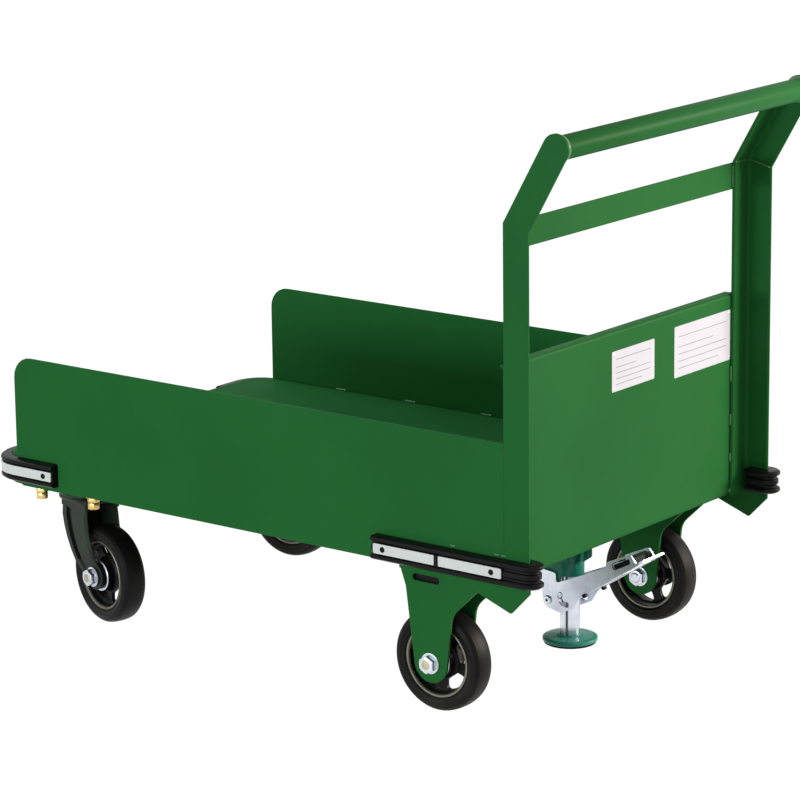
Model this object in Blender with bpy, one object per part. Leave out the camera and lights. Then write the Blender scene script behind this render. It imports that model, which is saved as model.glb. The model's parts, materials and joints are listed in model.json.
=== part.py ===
"""Steel platform truck with three fixed panels, a push handle, casters and a foot-worked floor lock.

Metres, +Z up, floor at z = 0. +X points to the handle end and -Y is the pusher's left.
The layout is drawn about the middle of the deck. One empty carries the whole truck and brings the
middle of its outline over the origin.
"""
import math

import bmesh
import bpy
from mathutils import Matrix, Vector

for leftover in list(bpy.data.objects):
    bpy.data.objects.remove(leftover, do_unlink=True)

# Clearances
SEAT = 0.0003               # gap between pieces that are seated on each other
RUNNING = 0.0006            # gap round pins, bushes and sliding pieces

# Wheels
WHEEL_DIAMETER = 0.142
TREAD_WIDTH = 0.038
TYRE_DEPTH = 0.0195
RIM_WIDTH = 0.031
RIM_WALL = 0.0042
WEB_THICKNESS = 0.005
WEB_HOLES = 5
WEB_HOLE_ANGLE = 54.0       # degrees taken up by one opening in the web
WEB_HOLE_CORNER = 0.004
WEB_TURNS = {"rear_left": 18.0, "rear_right": 39.0, "front_left": 18.0, "front_right": 18.0}
HUB_DIAMETER = 0.045        # flange on each side of the web
HUB_SPREAD = 0.0374         # over the two flanges
HUB_FLARE = 0.0025          # how far the hub spreads from a flange down to the web
BOSS_DIAMETER = 0.032
HUB_LENGTH = 0.048          # over the bosses
BUSH_DIAMETER = 0.023
AXLE_DIAMETER = 0.014
NUT_ACROSS_FLATS = 0.022
NUT_HEIGHT = 0.0095
NUT_EASE = 0.0022           # bevelled part of a nut or bolt head
BOLT_END = 0.002            # bolt beyond its nut

# Casters
LEG_SHEET = 0.004
CROWN_CLEARANCE = 0.036     # top of the tyre to the underside of the fork's crown
CROWN_SHEET = 0.0042
FORK_HALF_WIDTH = 0.031
FORK_BEND = 0.009           # outer radius where the crown turns down into the legs
FORK_LAP = 0.006            # crown's sides below that bend
RACE_HEIGHT = 0.0135
RACE_DIAMETER = 0.092
RACE_WIDTH = 0.013
RACE_EASE = 0.003
KINGPIN_DIAMETER = 0.012
KINGPIN_NUT = 0.0075
KINGPIN_END = 0.003         # pin beyond its nut
PLATE_SHEET = 0.0046
SWIVEL_PLATE_LENGTH = 0.112
SWIVEL_PLATE_WIDTH = 0.094
SWIVEL_PLATE_CORNER = 0.010
TRAIL = 0.048
FORK_GROOVE = 0.0022        # bottom of the groove under the leg's outer face
FORK_RIB = 0.0044           # height of the pressed ribs over the groove
FORK_RELIEF = ((0.0, 0.0), (0.04, 1.0), (0.21, 1.0), (0.26, 0.0),
               (0.35, 0.0), (0.41, 0.8), (0.94, 0.8), (1.0, 0.0))  # share across the leg, share of the rib
FORK_HEEL = 39.0            # degrees that the leg's end leans
FORK_END_RADIUS = 0.020
SWIVEL_ANGLES = {"left": -15.0, "right": 6.0}
BRACKET_END_RADIUS = 0.0275
BRACKET_FRONT_REACH = 0.053  # top plate of the fixed bracket ahead of its axle
BRACKET_REAR_REACH = 0.100   # and behind it
BRACKET_LIP = 0.003
BRACKET_CORNER = 0.008
BRACKET_SHOULDER = 0.026    # front of a leg starts to widen this far under the plate
BRACKET_KNEE = 0.030        # rear of a leg starts to widen this far below that
BRACKET_FRONT_FLARE = 0.013
BRACKET_REAR_FLARE = 0.008
BRACKET_SLOT_LENGTH = 0.045
BRACKET_SLOT_HEIGHT = 0.010
BRACKET_SLOT_INSET = 0.024  # behind the plate's front edge
BRACKET_SLOT_DROP = 0.004   # under the plate

# Deck and its beams
DECK_LENGTH = 0.900
DECK_SHEET = 0.0032
DECK_SKIRT = 0.044
DECK_FRONT_RADIUS = 0.035
DECK_REAR_RADIUS = 0.008
DECK_BEND = 0.006
BEAM_HEIGHT = 0.0453
BEAM_SHEET = 0.0032
BEAM_BEND = 0.005
BEAM_MARGIN = 0.006         # beam wider than the caster plate under it, on each side

# Body panels
BODY_WIDTH = 0.580
PANEL_SHEET = 0.0023
PANEL_HEIGHT = 0.146        # above the deck
PANEL_SETBACK = 0.0325       # front edge of the side panels behind the deck's front edge
PANEL_CORNER = 0.032
PANEL_NOTCH_CORNER = 0.003
END_HEIGHT = 0.248          # end panel above the deck
END_DROP = 0.040            # and below the deck's top
END_HEM = 0.015
END_BEND = 0.005
END_RELIEF = 0.030          # folded edge cut away at each end

# Uprights and handle
ANGLE_LEG = 0.040
ANGLE_SHEET = 0.004
ANGLE_ROOT = 0.005
ANGLE_TOE = 0.002
UPRIGHT_RISE = 0.436        # deck top to the bend, along the front edge
ARM_LEAN = 30.0             # degrees from upright
ARM_LENGTH = 0.1294         # bend to the handle's centre
ARM_COPE = 0.022            # inward flange stops this far short of the handle's centre
HANDLE_DIAMETER = 0.0318
HANDLE_WALL = 0.002
CROSS_BAR_HEIGHT = 0.037
CROSS_BAR_THICKNESS = 0.0045
CROSS_BAR_DROP = 0.003      # top of the cross bar below the bend
CROSS_BAR_EDGE = 0.001

# Pointed foot plates under the uprights
FOOT_DROP = 0.038
FOOT_TIP_SETBACK = 0.0300   # tip ahead of the upright's rear edge
FOOT_REAR_DROP = 0.0070
FOOT_LENGTH = 0.134
FOOT_CORNER = 0.003

# Bumpers
BUMPER_HEIGHT = 0.033
BUMPER_DEPTH = 0.016
BUMPER_FLOOR = 0.011        # bottom of the grooves above the bumper's back
BUMPER_RIB = 0.0135         # middle rib above the bumper's back
FRONT_BUMPER_DROP = 0.0202  # bumper centre below the deck's top
REAR_BUMPER_DROP = 0.0245
FRONT_BUMPER_SIDE_LEG = 0.0765
FRONT_BUMPER_NOSE_LEG = 0.045
REAR_BUMPER_LENGTH = 0.250  # along the side, up to the rear edge of the upright
REAR_BUMPER_RETURN = 0.029  # along the inside of the upright
STRIP_HEIGHT = 0.014
STRIP_SHEET = 0.0022
STRIP_CORNER = 0.002
STRIP_ROOM = 0.001          # groove wider than its strip, above and below
STRIP_END = 0.005           # bumper left bare at a rear strip's end
FRONT_STRIP_END = 0.0015     # and at a front strip's end
STRIP_LENGTH = 0.104
STRIP_GAP = 0.003
STRIPS_PER_SIDE = 2

# Where the casters stand
SWIVEL_INSET = 0.0911        # swivel axis behind the deck's front edge
SWIVEL_SIDE_INSET = 0.0884   # and inside the body's side
REAR_AXLE_INSET = 0.1285     # fixed axle ahead of the deck's rear edge
REAR_WHEEL_INSET = 0.041    # fixed wheel's middle inside the body's side

# Floor lock
LOCK_INSET = 0.0965          # post axis ahead of the deck's rear edge
POST_DIAMETER = 0.028
POST_TOP_GAP = 0.014        # top of the post below the lock's flange
POST_EASE = 0.002
GUIDE_WALL = 0.0055
GUIDE_LENGTH = 0.062
FIN_COUNT = 8
FIN_REACH = 0.031           # fin tips from the post's axis
FIN_THICKNESS = 0.005
FIN_LENGTH = 0.048
LOCK_FLANGE_LENGTH = 0.090
LOCK_FLANGE_WIDTH = 0.074
LOCK_FLANGE_SHEET = 0.0045
LOCK_FLANGE_CORNER = 0.008
LOCK_STROKE = 0.0355         # pad bottom above the floor when raised
PAD_DIAMETER = 0.077
PAD_RUBBER = 0.003
PAD_CUP = 0.0085
PAD_SIDE = 0.0050           # upright side of the cup
PAD_EASE = 0.0012
EAR_SHEET = 0.004
EAR_RADIUS = 0.010
PIVOT_BACKSET = 0.021       # pedal pivot ahead of the post's axis
PIVOT_DROP = 0.1027          # pedal pivot below the lock's flange top
PIVOT_DIAMETER = 0.008
PIVOT_HEAD = 0.0025         # height and overhang of the pivot tube's flared ends
PEDAL_TILT = 27.0           # degrees above level when raised
PEDAL_SHEET = 0.003
PEDAL_LENGTH = 0.184
PEDAL_TURN = 46.0           # degrees from raised to pressed
PEDAL_HEEL = 0.0108         # cheek ahead of the pivot
PEDAL_TAB = 0.0443          # tip of the heel's tab above the pivot
PEDAL_BELLY = 0.054         # where the lobe under the cheek ends and the arm begins
PEDAL_BELLY_DROP = 0.0134   # arm's lower edge under the line from pivot to toe, there
PEDAL_RISE = 5.6            # degrees that the arm's lower edge rises to that line
PEDAL_ARM_ABOVE = 0.0107
PEDAL_WEB_START = 0.072
TREAD_START = 0.119
TREAD_PLATE_WIDTH = 0.060
TREAD_WALL = 0.0172         # top of the tread's side walls above the pedal's line
TREAD_WALL_END = 0.162      # rear end of those walls
TREAD_FRAME = 0.0045        # metal left round the opening in a side wall
TREAD_SLOT_WIDTH = 0.011
TREAD_SLOTS = 3
ROLLER_DIAMETER = 0.007
ROLLER_END = 0.001          # roller beyond the cheeks
CAM_WALL = 0.0035           # metal left round the cam slot
SPRING_WIRE = 0.0016
SPRING_TURNS = 4
SPRING_FACETS = 8           # stations round one turn of the spring

# Heights stacked up from the floor
AXLE_Z = WHEEL_DIAMETER / 2
CROWN_BOTTOM = WHEEL_DIAMETER + CROWN_CLEARANCE
CROWN_TOP = CROWN_BOTTOM + CROWN_SHEET
RACE_BOTTOM = CROWN_TOP + SEAT
PLATE_BOTTOM = RACE_BOTTOM + RACE_HEIGHT + SEAT
PLATE_TOP = PLATE_BOTTOM + PLATE_SHEET
BEAM_BOTTOM = PLATE_TOP + SEAT
BEAM_TOP = BEAM_BOTTOM + BEAM_HEIGHT
DECK_TOP = BEAM_TOP + SEAT + DECK_SHEET
BODY_BOTTOM = DECK_TOP - DECK_SKIRT
BEND_Z = DECK_TOP + UPRIGHT_RISE

# Places along and across the truck
FRONT_EDGE = -DECK_LENGTH / 2
REAR_EDGE = DECK_LENGTH / 2
BODY_HALF = BODY_WIDTH / 2
DECK_HALF = BODY_HALF - PANEL_SHEET - SEAT
END_FACE = REAR_EDGE + SEAT + PANEL_SHEET
UPRIGHT_FACE = END_FACE + SEAT
UPRIGHT_REAR = UPRIGHT_FACE + ANGLE_LEG
SWIVEL_X = FRONT_EDGE + SWIVEL_INSET
SWIVEL_Y = BODY_HALF - SWIVEL_SIDE_INSET
REAR_AXLE_X = REAR_EDGE - REAR_AXLE_INSET
REAR_WHEEL_Y = BODY_HALF - REAR_WHEEL_INSET
LEG_INNER = HUB_LENGTH / 2 + 2 * RUNNING
LEG_OUTER = LEG_INNER + LEG_SHEET
LOCK_X = REAR_EDGE - LOCK_INSET
FRONT_BUMPER_Z = DECK_TOP - FRONT_BUMPER_DROP
REAR_BUMPER_Z = DECK_TOP - REAR_BUMPER_DROP
FRONT_BUMPER_END = FRONT_EDGE + DECK_FRONT_RADIUS + FRONT_BUMPER_SIDE_LEG

# The arm's own directions: up along the arm, and across it to the rear
LEAN = math.radians(ARM_LEAN)
ARM_UP = Vector((math.sin(LEAN), 0.0, math.cos(LEAN)))
ARM_REARWARD = Vector((math.cos(LEAN), 0.0, -math.sin(LEAN)))
ARM_FOOT = Vector((UPRIGHT_FACE, 0.0, BEND_Z))
HANDLE_CENTRE = ARM_FOOT + ARM_UP * ARM_LENGTH + ARM_REARWARD * (ANGLE_LEG / 2)

# The middle of the truck's outline, which the origin lies under
OUTLINE_FRONT = FRONT_EDGE - SEAT - BUMPER_DEPTH
OUTLINE_REAR = HANDLE_CENTRE.x + ANGLE_LEG / 2
MIDDLE_X = (OUTLINE_FRONT + OUTLINE_REAR) / 2

SIDES = (("left", -1), ("right", 1))
ROUND = 24                  # facets round wheels and other large turned pieces
SMALL_ROUND = 12            # facets round pins, nuts and tubes
CORNER_STEPS = 6            # facets round a quarter turn of the deck's corners
CAM_STEPS = 6               # stations along the pedal's cam slot
LEG_STEPS = 7               # stations down a fork's leg
APRON_STEPS = 4             # of them, stations along the sheet between the legs
SMOOTH_ANGLE = math.radians(38)


# Finishes

def linear(channel):
    """Turn one 0-255 display value into the linear value that a shader takes."""
    value = channel / 255
    return value / 12.92 if value <= 0.04045 else ((value + 0.055) / 1.055) ** 2.4


def finish(name, colour, roughness, metallic):
    material = bpy.data.materials.new(name)
    material.use_nodes = True
    shader = material.node_tree.nodes["Principled BSDF"]
    shader.inputs["Base Color"].default_value = (*(linear(c) for c in colour), 1.0)
    shader.inputs["Roughness"].default_value = roughness
    shader.inputs["Metallic"].default_value = metallic
    return material


GREEN_PAINT = finish("green_paint", (38, 104, 54), 0.38, 0.0)
FORK_PAINT = finish("fork_paint", (52, 60, 52), 0.42, 0.0)
WHEEL_PAINT = finish("wheel_paint", (24, 24, 25), 0.40, 0.0)
LOCK_PAINT = finish("lock_paint", (24, 110, 92), 0.36, 0.0)
ZINC = finish("zinc", (196, 200, 208), 0.34, 1.0)
TYRE_RUBBER = finish("tyre_rubber", (26, 25, 25), 0.62, 0.0)
BUMPER_RUBBER = finish("bumper_rubber", (20, 19, 20), 0.55, 0.0)
STRIP_WHITE = finish("strip_white", (232, 232, 230), 0.35, 0.0)


# Modelling helpers

def empty(name, place, parent=None, turn=(0.0, 0.0, 0.0)):
    """A parent for pieces that share one place or one joint axis."""
    holder = bpy.data.objects.new(name, None)
    holder.empty_display_size = 0.03
    holder.location = place
    holder.rotation_euler = turn
    holder.parent = parent
    bpy.context.scene.collection.objects.link(holder)
    return holder


def make(name, bm, material, parent, at=(0.0, 0.0, 0.0)):
    """Close a bmesh into a named object whose origin lies at the given place."""
    bmesh.ops.remove_doubles(bm, verts=bm.verts, dist=0.000002)
    bmesh.ops.recalc_face_normals(bm, faces=bm.faces)
    bmesh.ops.translate(bm, verts=bm.verts, vec=-Vector(at))
    mesh = bpy.data.meshes.new(name)
    bm.to_mesh(mesh)
    bm.free()
    mesh.shade_smooth()
    mesh.set_sharp_from_angle(angle=SMOOTH_ANGLE)
    piece = bpy.data.objects.new(name, mesh)
    piece.location = at
    piece.parent = parent
    bpy.context.scene.collection.objects.link(piece)
    if material:
        mesh.materials.append(material)
    return piece


def shape(piece, operation, bm, label):
    """Cut a tool shape from a piece, or weld one to it, with the tool kept as a hidden guide."""
    tool = make(piece.name + "_" + label, bm, None, piece.parent, piece.location)
    tool.hide_render = True
    tool.display_type = "WIRE"
    modifier = piece.modifiers.new(label, "BOOLEAN")
    modifier.operation = operation
    modifier.solver = "EXACT"
    modifier.object = tool


def rounded(corners, steps=4):
    """An outline from corners (a, b, radius), each corner turned into an arc."""
    outline = []
    for index, (a, b, radius) in enumerate(corners):
        corner = Vector((a, b))
        if radius <= 0:
            outline.append(corner)
            continue
        before = (Vector(corners[index - 1][:2]) - corner).normalized()
        after = (Vector(corners[(index + 1) % len(corners)][:2]) - corner).normalized()
        half = before.angle(after) / 2
        centre = corner + (before + after).normalized() * (radius / math.sin(half))
        start = corner + before * (radius / math.tan(half)) - centre
        turn = start.angle_signed(corner + after * (radius / math.tan(half)) - centre)
        for step in range(steps + 1):
            outline.append(centre + Matrix.Rotation(-turn * step / steps, 2) @ start)
    return outline


def prism(outline, axis, low, high, bm=None):
    """Extrude an outline along x, y or z. The outline's values are the other two axes in order."""
    bm = bm or bmesh.new()
    place = {
        "x": lambda a, b, t: (t, a, b),
        "y": lambda a, b, t: (a, t, b),
        "z": lambda a, b, t: (a, b, t),
    }[axis]
    face = bm.faces.new([bm.verts.new(place(a, b, low)) for a, b in outline])
    grown = bmesh.ops.extrude_face_region(bm, geom=[face])["geom"]
    moved = [item for item in grown if isinstance(item, bmesh.types.BMVert)]
    bmesh.ops.translate(bm, verts=moved, vec=place(0.0, 0.0, high - low))
    return bm


def revolve(profile, axis, steps, centre=(0.0, 0.0, 0.0), bm=None):
    """Spin a closed profile of (radius, distance along the axis) points about z or y."""
    bm = bm or bmesh.new()
    centre = Vector(centre)
    side = {"z": lambda r, h: Vector((r, 0, h)), "y": lambda r, h: Vector((r, h, 0))}[axis]
    spindle = {"z": Vector((0, 0, 1)), "y": Vector((0, 1, 0))}[axis]
    points = [bm.verts.new(centre + side(r, h)) for r, h in profile]
    edges = [bm.edges.new((a, b)) for a, b in zip(points, points[1:] + points[:1])]
    bmesh.ops.spin(bm, geom=points + edges, cent=centre, axis=spindle,
                   angle=2 * math.pi, steps=steps, use_merge=True)
    bmesh.ops.remove_doubles(bm, verts=bm.verts, dist=0.000002)
    return bm


def skin(bm, rings, caps=True, loop=False):
    """Join equal rings of points with faces, closed by end caps or back onto the first ring."""
    made = [[bm.verts.new(point) for point in ring] for ring in rings]
    pairs = list(zip(made, made[1:]))
    if loop:
        pairs.append((made[-1], made[0]))
    for lower, upper in pairs:
        count = len(lower)
        for index in range(count):
            after = (index + 1) % count
            bm.faces.new((lower[index], lower[after], upper[after], upper[index]))
    if caps and not loop:
        bm.faces.new(made[0][::-1])
        bm.faces.new(made[-1])
    return made


def circle(radius, count):
    return [(radius * math.cos(2 * math.pi * k / count), radius * math.sin(2 * math.pi * k / count))
            for k in range(count)]


def hexagon(across_flats, count):
    """A hexagon with the same number of points as a circle, so that the two can be joined."""
    outline = []
    for k in range(count):
        angle = 2 * math.pi * k / count
        from_flat = (angle + math.pi / 6) % (math.pi / 3) - math.pi / 6
        radius = across_flats / 2 / math.cos(from_flat)
        outline.append((radius * math.cos(angle), radius * math.sin(angle)))
    return outline


def across(outline, place, along):
    """Set a flat outline square to the y axis."""
    return [(place[0] + a, along, place[2] + b) for a, b in outline]


def arc(start, end, steps):
    """Angles in radians from start to end degrees."""
    return [math.radians(start + (end - start) * k / steps) for k in range(steps + 1)]


TRUCK = empty("truck", (-MIDDLE_X, 0.0, 0.0))


# Deck and beams

def deck_outline(inset):
    """The deck seen from above, drawn in by an inset: wide front corners and tight rear ones."""
    front, rear, half = FRONT_EDGE + inset, REAR_EDGE - inset, DECK_HALF - inset
    wide, tight = DECK_FRONT_RADIUS - inset, DECK_REAR_RADIUS - inset
    corners = [(front, -half, wide), (rear, -half, tight), (rear, half, tight), (front, half, wide)]
    return rounded(corners, CORNER_STEPS)


def build_deck():
    """A sheet tray turned upside down: flat top, bent edge and a skirt all round."""
    inner_bend = DECK_BEND - DECK_SHEET
    bend_centre = DECK_TOP - DECK_BEND
    walls = [(0.0, BODY_BOTTOM)]
    walls += [(DECK_BEND * (1 - math.cos(a)), bend_centre + DECK_BEND * math.sin(a))
              for a in arc(0, 90, 3)]
    inside = [(DECK_BEND - inner_bend * math.cos(a), bend_centre + inner_bend * math.sin(a))
              for a in arc(90, 0, 2)]
    inside.append((DECK_SHEET, BODY_BOTTOM))
    bm = bmesh.new()
    rings = [[(x, y, z) for x, y in deck_outline(inset)] for inset, z in walls + inside]
    skinned = skin(bm, rings, caps=False)
    top_ring, under_ring = skinned[len(walls) - 1], skinned[len(walls)]
    # The two sheets' flat faces take the place of the faces that join them at the bend
    for k in range(len(top_ring)):
        joint = bm.faces.get((top_ring[k], top_ring[k - 1], under_ring[k - 1], under_ring[k]))
        bm.faces.remove(joint)
    bm.faces.new(top_ring)
    bm.faces.new(under_ring[::-1])
    first, last = skinned[0], skinned[-1]
    for k in range(len(first)):
        bm.faces.new((first[k], first[k - 1], last[k - 1], last[k]))
    make("deck", bm, GREEN_PAINT, TRUCK)


def channel(low, high):
    """A folded channel, open at the top, seen along the truck's width."""
    outer = [(low, BEAM_TOP, 0), (low, BEAM_BOTTOM, BEAM_BEND),
             (high, BEAM_BOTTOM, BEAM_BEND), (high, BEAM_TOP, 0)]
    inner_bend = BEAM_BEND - BEAM_SHEET
    inner = [(high - BEAM_SHEET, BEAM_TOP, 0), (high - BEAM_SHEET, BEAM_BOTTOM + BEAM_SHEET, inner_bend),
             (low + BEAM_SHEET, BEAM_BOTTOM + BEAM_SHEET, inner_bend), (low + BEAM_SHEET, BEAM_TOP, 0)]
    return rounded(outer + inner, 2)


def build_beams():
    """Two channels under the deck that the casters and the lock are bolted to."""
    reach = SWIVEL_PLATE_LENGTH / 2 + BEAM_MARGIN
    low, high = SWIVEL_X - reach, SWIVEL_X + reach
    into_corner = max(0.0, FRONT_EDGE + DECK_FRONT_RADIUS - low)
    corner = (DECK_FRONT_RADIUS - DECK_BEND) * math.cos(math.pi / (4 * CORNER_STEPS))
    half = DECK_HALF - DECK_FRONT_RADIUS + math.sqrt(corner ** 2 - into_corner ** 2) - SEAT
    make("front_beam", prism(channel(low, high), "y", -half, half), GREEN_PAINT, TRUCK)
    low = REAR_AXLE_X - BRACKET_FRONT_REACH - BEAM_MARGIN
    high = REAR_AXLE_X + BRACKET_REAR_REACH + BEAM_MARGIN
    half = DECK_HALF - DECK_BEND - SEAT
    make("rear_beam", prism(channel(low, high), "y", -half, half), GREEN_PAINT, TRUCK)


# Panels

def build_side_panel(name, side):
    """A plain sheet, notched at the front so that the bumper can wrap the deck's corner."""
    notch = FRONT_BUMPER_Z + BUMPER_HEIGHT / 2 + 2 * SEAT
    low_front = FRONT_BUMPER_END + 2 * SEAT
    front, top, rear = FRONT_EDGE + PANEL_SETBACK, DECK_TOP + PANEL_HEIGHT, UPRIGHT_FACE - SEAT
    outline = rounded([
        (low_front, BODY_BOTTOM, PANEL_NOTCH_CORNER), (rear, BODY_BOTTOM, 0), (rear, top, 0),
        (front, top, PANEL_CORNER), (front, notch, PANEL_NOTCH_CORNER),
        (low_front, notch, PANEL_NOTCH_CORNER * 2 / 3)], 6)
    outer, inner = side * BODY_HALF, side * (BODY_HALF - PANEL_SHEET)
    make("side_panel_" + name, prism(outline, "y", outer, inner), GREEN_PAINT, TRUCK)


def build_end_panel():
    """A sheet across the rear with its top edge folded forward."""
    top, bottom = DECK_TOP + END_HEIGHT, DECK_TOP - END_DROP
    rear, front = END_FACE, END_FACE - PANEL_SHEET
    lip = rear - END_HEM
    section = rounded([
        (rear, bottom, 0), (rear, top, END_BEND), (lip, top, 0), (lip, top - PANEL_SHEET, 0),
        (front, top - PANEL_SHEET, END_BEND - PANEL_SHEET), (front, bottom, 0)], 4)
    panel = make("end_panel", prism(section, "y", -DECK_HALF, DECK_HALF), GREEN_PAINT, TRUCK)
    low, high = top - END_BEND, top + PANEL_SHEET
    past_lip, fold = lip - PANEL_SHEET, front - END_BEND
    relief = [(past_lip, low), (fold, low), (fold, high), (past_lip, high)]
    reliefs = prism(relief, "y", -BODY_HALF, END_RELIEF - DECK_HALF)
    prism(relief, "y", DECK_HALF - END_RELIEF, BODY_HALF, reliefs)
    shape(panel, "DIFFERENCE", reliefs, "reliefs")


# Uprights and handle

def angle_section():
    """A rolled angle: (across to the rear, in from the side), outer corner first.

    Returns the whole outline, and the places in it of the side flange's own outline.
    """
    root = ANGLE_SHEET + ANGLE_ROOT
    side_flange = [(0.0, 0.0), (ANGLE_LEG, 0.0), (ANGLE_LEG, ANGLE_SHEET - ANGLE_TOE),
                   (ANGLE_LEG - ANGLE_TOE, ANGLE_SHEET)]
    fillet = [(root + ANGLE_ROOT * math.cos(a), root + ANGLE_ROOT * math.sin(a)) for a in arc(270, 180, 4)]
    inward_flange = [(ANGLE_SHEET, ANGLE_LEG - ANGLE_TOE), (ANGLE_SHEET - ANGLE_TOE, ANGLE_LEG),
                     (0.0, ANGLE_LEG), (0.0, ANGLE_SHEET)]
    outline = side_flange + fillet + inward_flange
    side_places = list(range(len(side_flange) + 1)) + [len(outline) - 1]
    return outline, side_places


def build_upright(name, side):
    """An angle post, mitred and leaned back at the top, with a round ear that holds the handle."""
    outline, side_places = angle_section()

    def on_post(across_post, inset, z):
        return Vector((UPRIGHT_FACE + across_post, side * (BODY_HALF - inset), z))

    def on_arm(across_arm, inset, along):
        point = ARM_FOOT + ARM_UP * along + ARM_REARWARD * across_arm
        return Vector((point.x, side * (BODY_HALF - inset), point.z))

    mitre = math.tan(LEAN / 2)
    bm = bmesh.new()
    foot = [on_post(a, i, BODY_BOTTOM) for a, i in outline]
    bend = [on_post(a, i, BEND_Z - a * mitre) for a, i in outline]
    cope = [on_arm(a, i, ARM_LENGTH - ARM_COPE) for a, i in outline]
    rings = skin(bm, [foot, bend, cope], caps=False)
    bm.faces.new(rings[0][::-1])
    top_ring = rings[-1]
    ear = [top_ring[k] for k in side_places]
    bm.faces.new([top_ring[k] for k in range(side_places[-2], len(outline))])
    middle = ANGLE_LEG / 2
    for angle in arc(0, 80, 8):
        narrowed = math.cos(angle)
        along = ARM_LENGTH + middle * math.sin(angle)
        ring = [bm.verts.new(on_arm(middle + (outline[k][0] - middle) * narrowed, outline[k][1], along))
                for k in side_places]
        for k in range(len(ear)):
            bm.faces.new((ear[k - 1], ear[k], ring[k], ring[k - 1]))
        ear = ring
    bm.faces.new(ear)
    make("upright_" + name, bm, GREEN_PAINT, TRUCK)


def build_handle():
    """A tube between the two ears, and a flat bar across the front of the uprights."""
    reach = BODY_HALF - ANGLE_SHEET - SEAT
    outer, inner = HANDLE_DIAMETER / 2, HANDLE_DIAMETER / 2 - HANDLE_WALL
    tube = [(outer, -reach), (outer, reach), (inner, reach), (inner, -reach)]
    make("handle_bar", revolve(tube, "y", SMALL_ROUND, HANDLE_CENTRE), GREEN_PAINT, TRUCK)
    top = BEND_Z - CROSS_BAR_DROP
    rear = UPRIGHT_FACE - SEAT
    front, bottom, edge = rear - CROSS_BAR_THICKNESS, top - CROSS_BAR_HEIGHT, CROSS_BAR_EDGE
    bar = rounded([(front, bottom, edge), (rear, bottom, edge), (rear, top, edge), (front, top, edge)], 2)
    half = BODY_HALF - 2 * ANGLE_SHEET
    make("cross_bar", prism(bar, "y", -half, half), GREEN_PAINT, TRUCK)


def build_foot_plate(name, side):
    """A pointed gusset in the plane of the side, under the upright's foot."""
    top = BODY_BOTTOM - SEAT
    tip = UPRIGHT_REAR - FOOT_TIP_SETBACK
    outline = rounded([
        (UPRIGHT_REAR - FOOT_LENGTH, top, 0), (tip, BODY_BOTTOM - FOOT_DROP, FOOT_CORNER),
        (UPRIGHT_REAR, BODY_BOTTOM - FOOT_REAR_DROP, FOOT_CORNER * 2 / 3), (UPRIGHT_REAR, top, 0)], 3)
    outer, inner = side * BODY_HALF, side * (BODY_HALF - ANGLE_SHEET)
    make("foot_plate_" + name, prism(outline, "y", outer, inner), GREEN_PAINT, TRUCK)


# Bumpers

def bumper_section():
    """Three-lipped rubber: (out from the back, height from the middle)."""
    half = BUMPER_HEIGHT / 2
    seat = STRIP_HEIGHT / 2 + STRIP_ROOM
    lip = half - seat
    upper = [(0.0, half), (BUMPER_DEPTH - lip * 0.45, half), (BUMPER_DEPTH, half - lip * 0.3),
             (BUMPER_DEPTH, seat + lip * 0.3), (BUMPER_DEPTH - lip * 0.35, seat), (BUMPER_FLOOR, seat),
             (BUMPER_FLOOR, seat * 0.6), (BUMPER_RIB, seat * 0.4)]
    lower = [(out, -height) for out, height in reversed(upper)]
    return upper + lower


def sweep(section, path, middle_z):
    """Carry a section along a level path of (place, outward direction) stations."""
    bm = bmesh.new()
    rings = [[(place.x + outward.x * out, place.y + outward.y * out, middle_z + height)
              for out, height in section] for place, outward in path]
    skin(bm, rings)
    return bm


def front_path(side, trim):
    """Round the deck's front corner, from the side to the nose, trimmed at both ends."""
    radius = DECK_FRONT_RADIUS + SEAT
    corner = Vector((FRONT_EDGE + DECK_FRONT_RADIUS, side * (DECK_HALF - DECK_FRONT_RADIUS)))
    turn = [Vector((-math.sin(a), side * math.cos(a))) for a in arc(0, 90, 6)]
    path = [(corner + outward * radius, outward) for outward in turn]
    start = (Vector((FRONT_BUMPER_END - trim, path[0][0].y)), turn[0])
    end = (Vector((path[-1][0].x, corner.y - side * (FRONT_BUMPER_NOSE_LEG - trim))), turn[-1])
    return [start] + path + [end]


def rear_path(side):
    """Along the side, round the upright's rear edge and back inside it."""
    radius = ANGLE_SHEET / 2 + SEAT
    corner = Vector((UPRIGHT_REAR, side * (BODY_HALF - ANGLE_SHEET / 2)))
    turn = [Vector((math.sin(a), side * math.cos(a))) for a in arc(0, 180, 8)]
    path = [(corner + outward * radius, outward) for outward in turn]
    start = (Vector((UPRIGHT_REAR - REAR_BUMPER_LENGTH, path[0][0].y)), turn[0])
    end = (Vector((UPRIGHT_REAR - REAR_BUMPER_RETURN, path[-1][0].y)), turn[-1])
    return [start] + path + [end]


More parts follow.
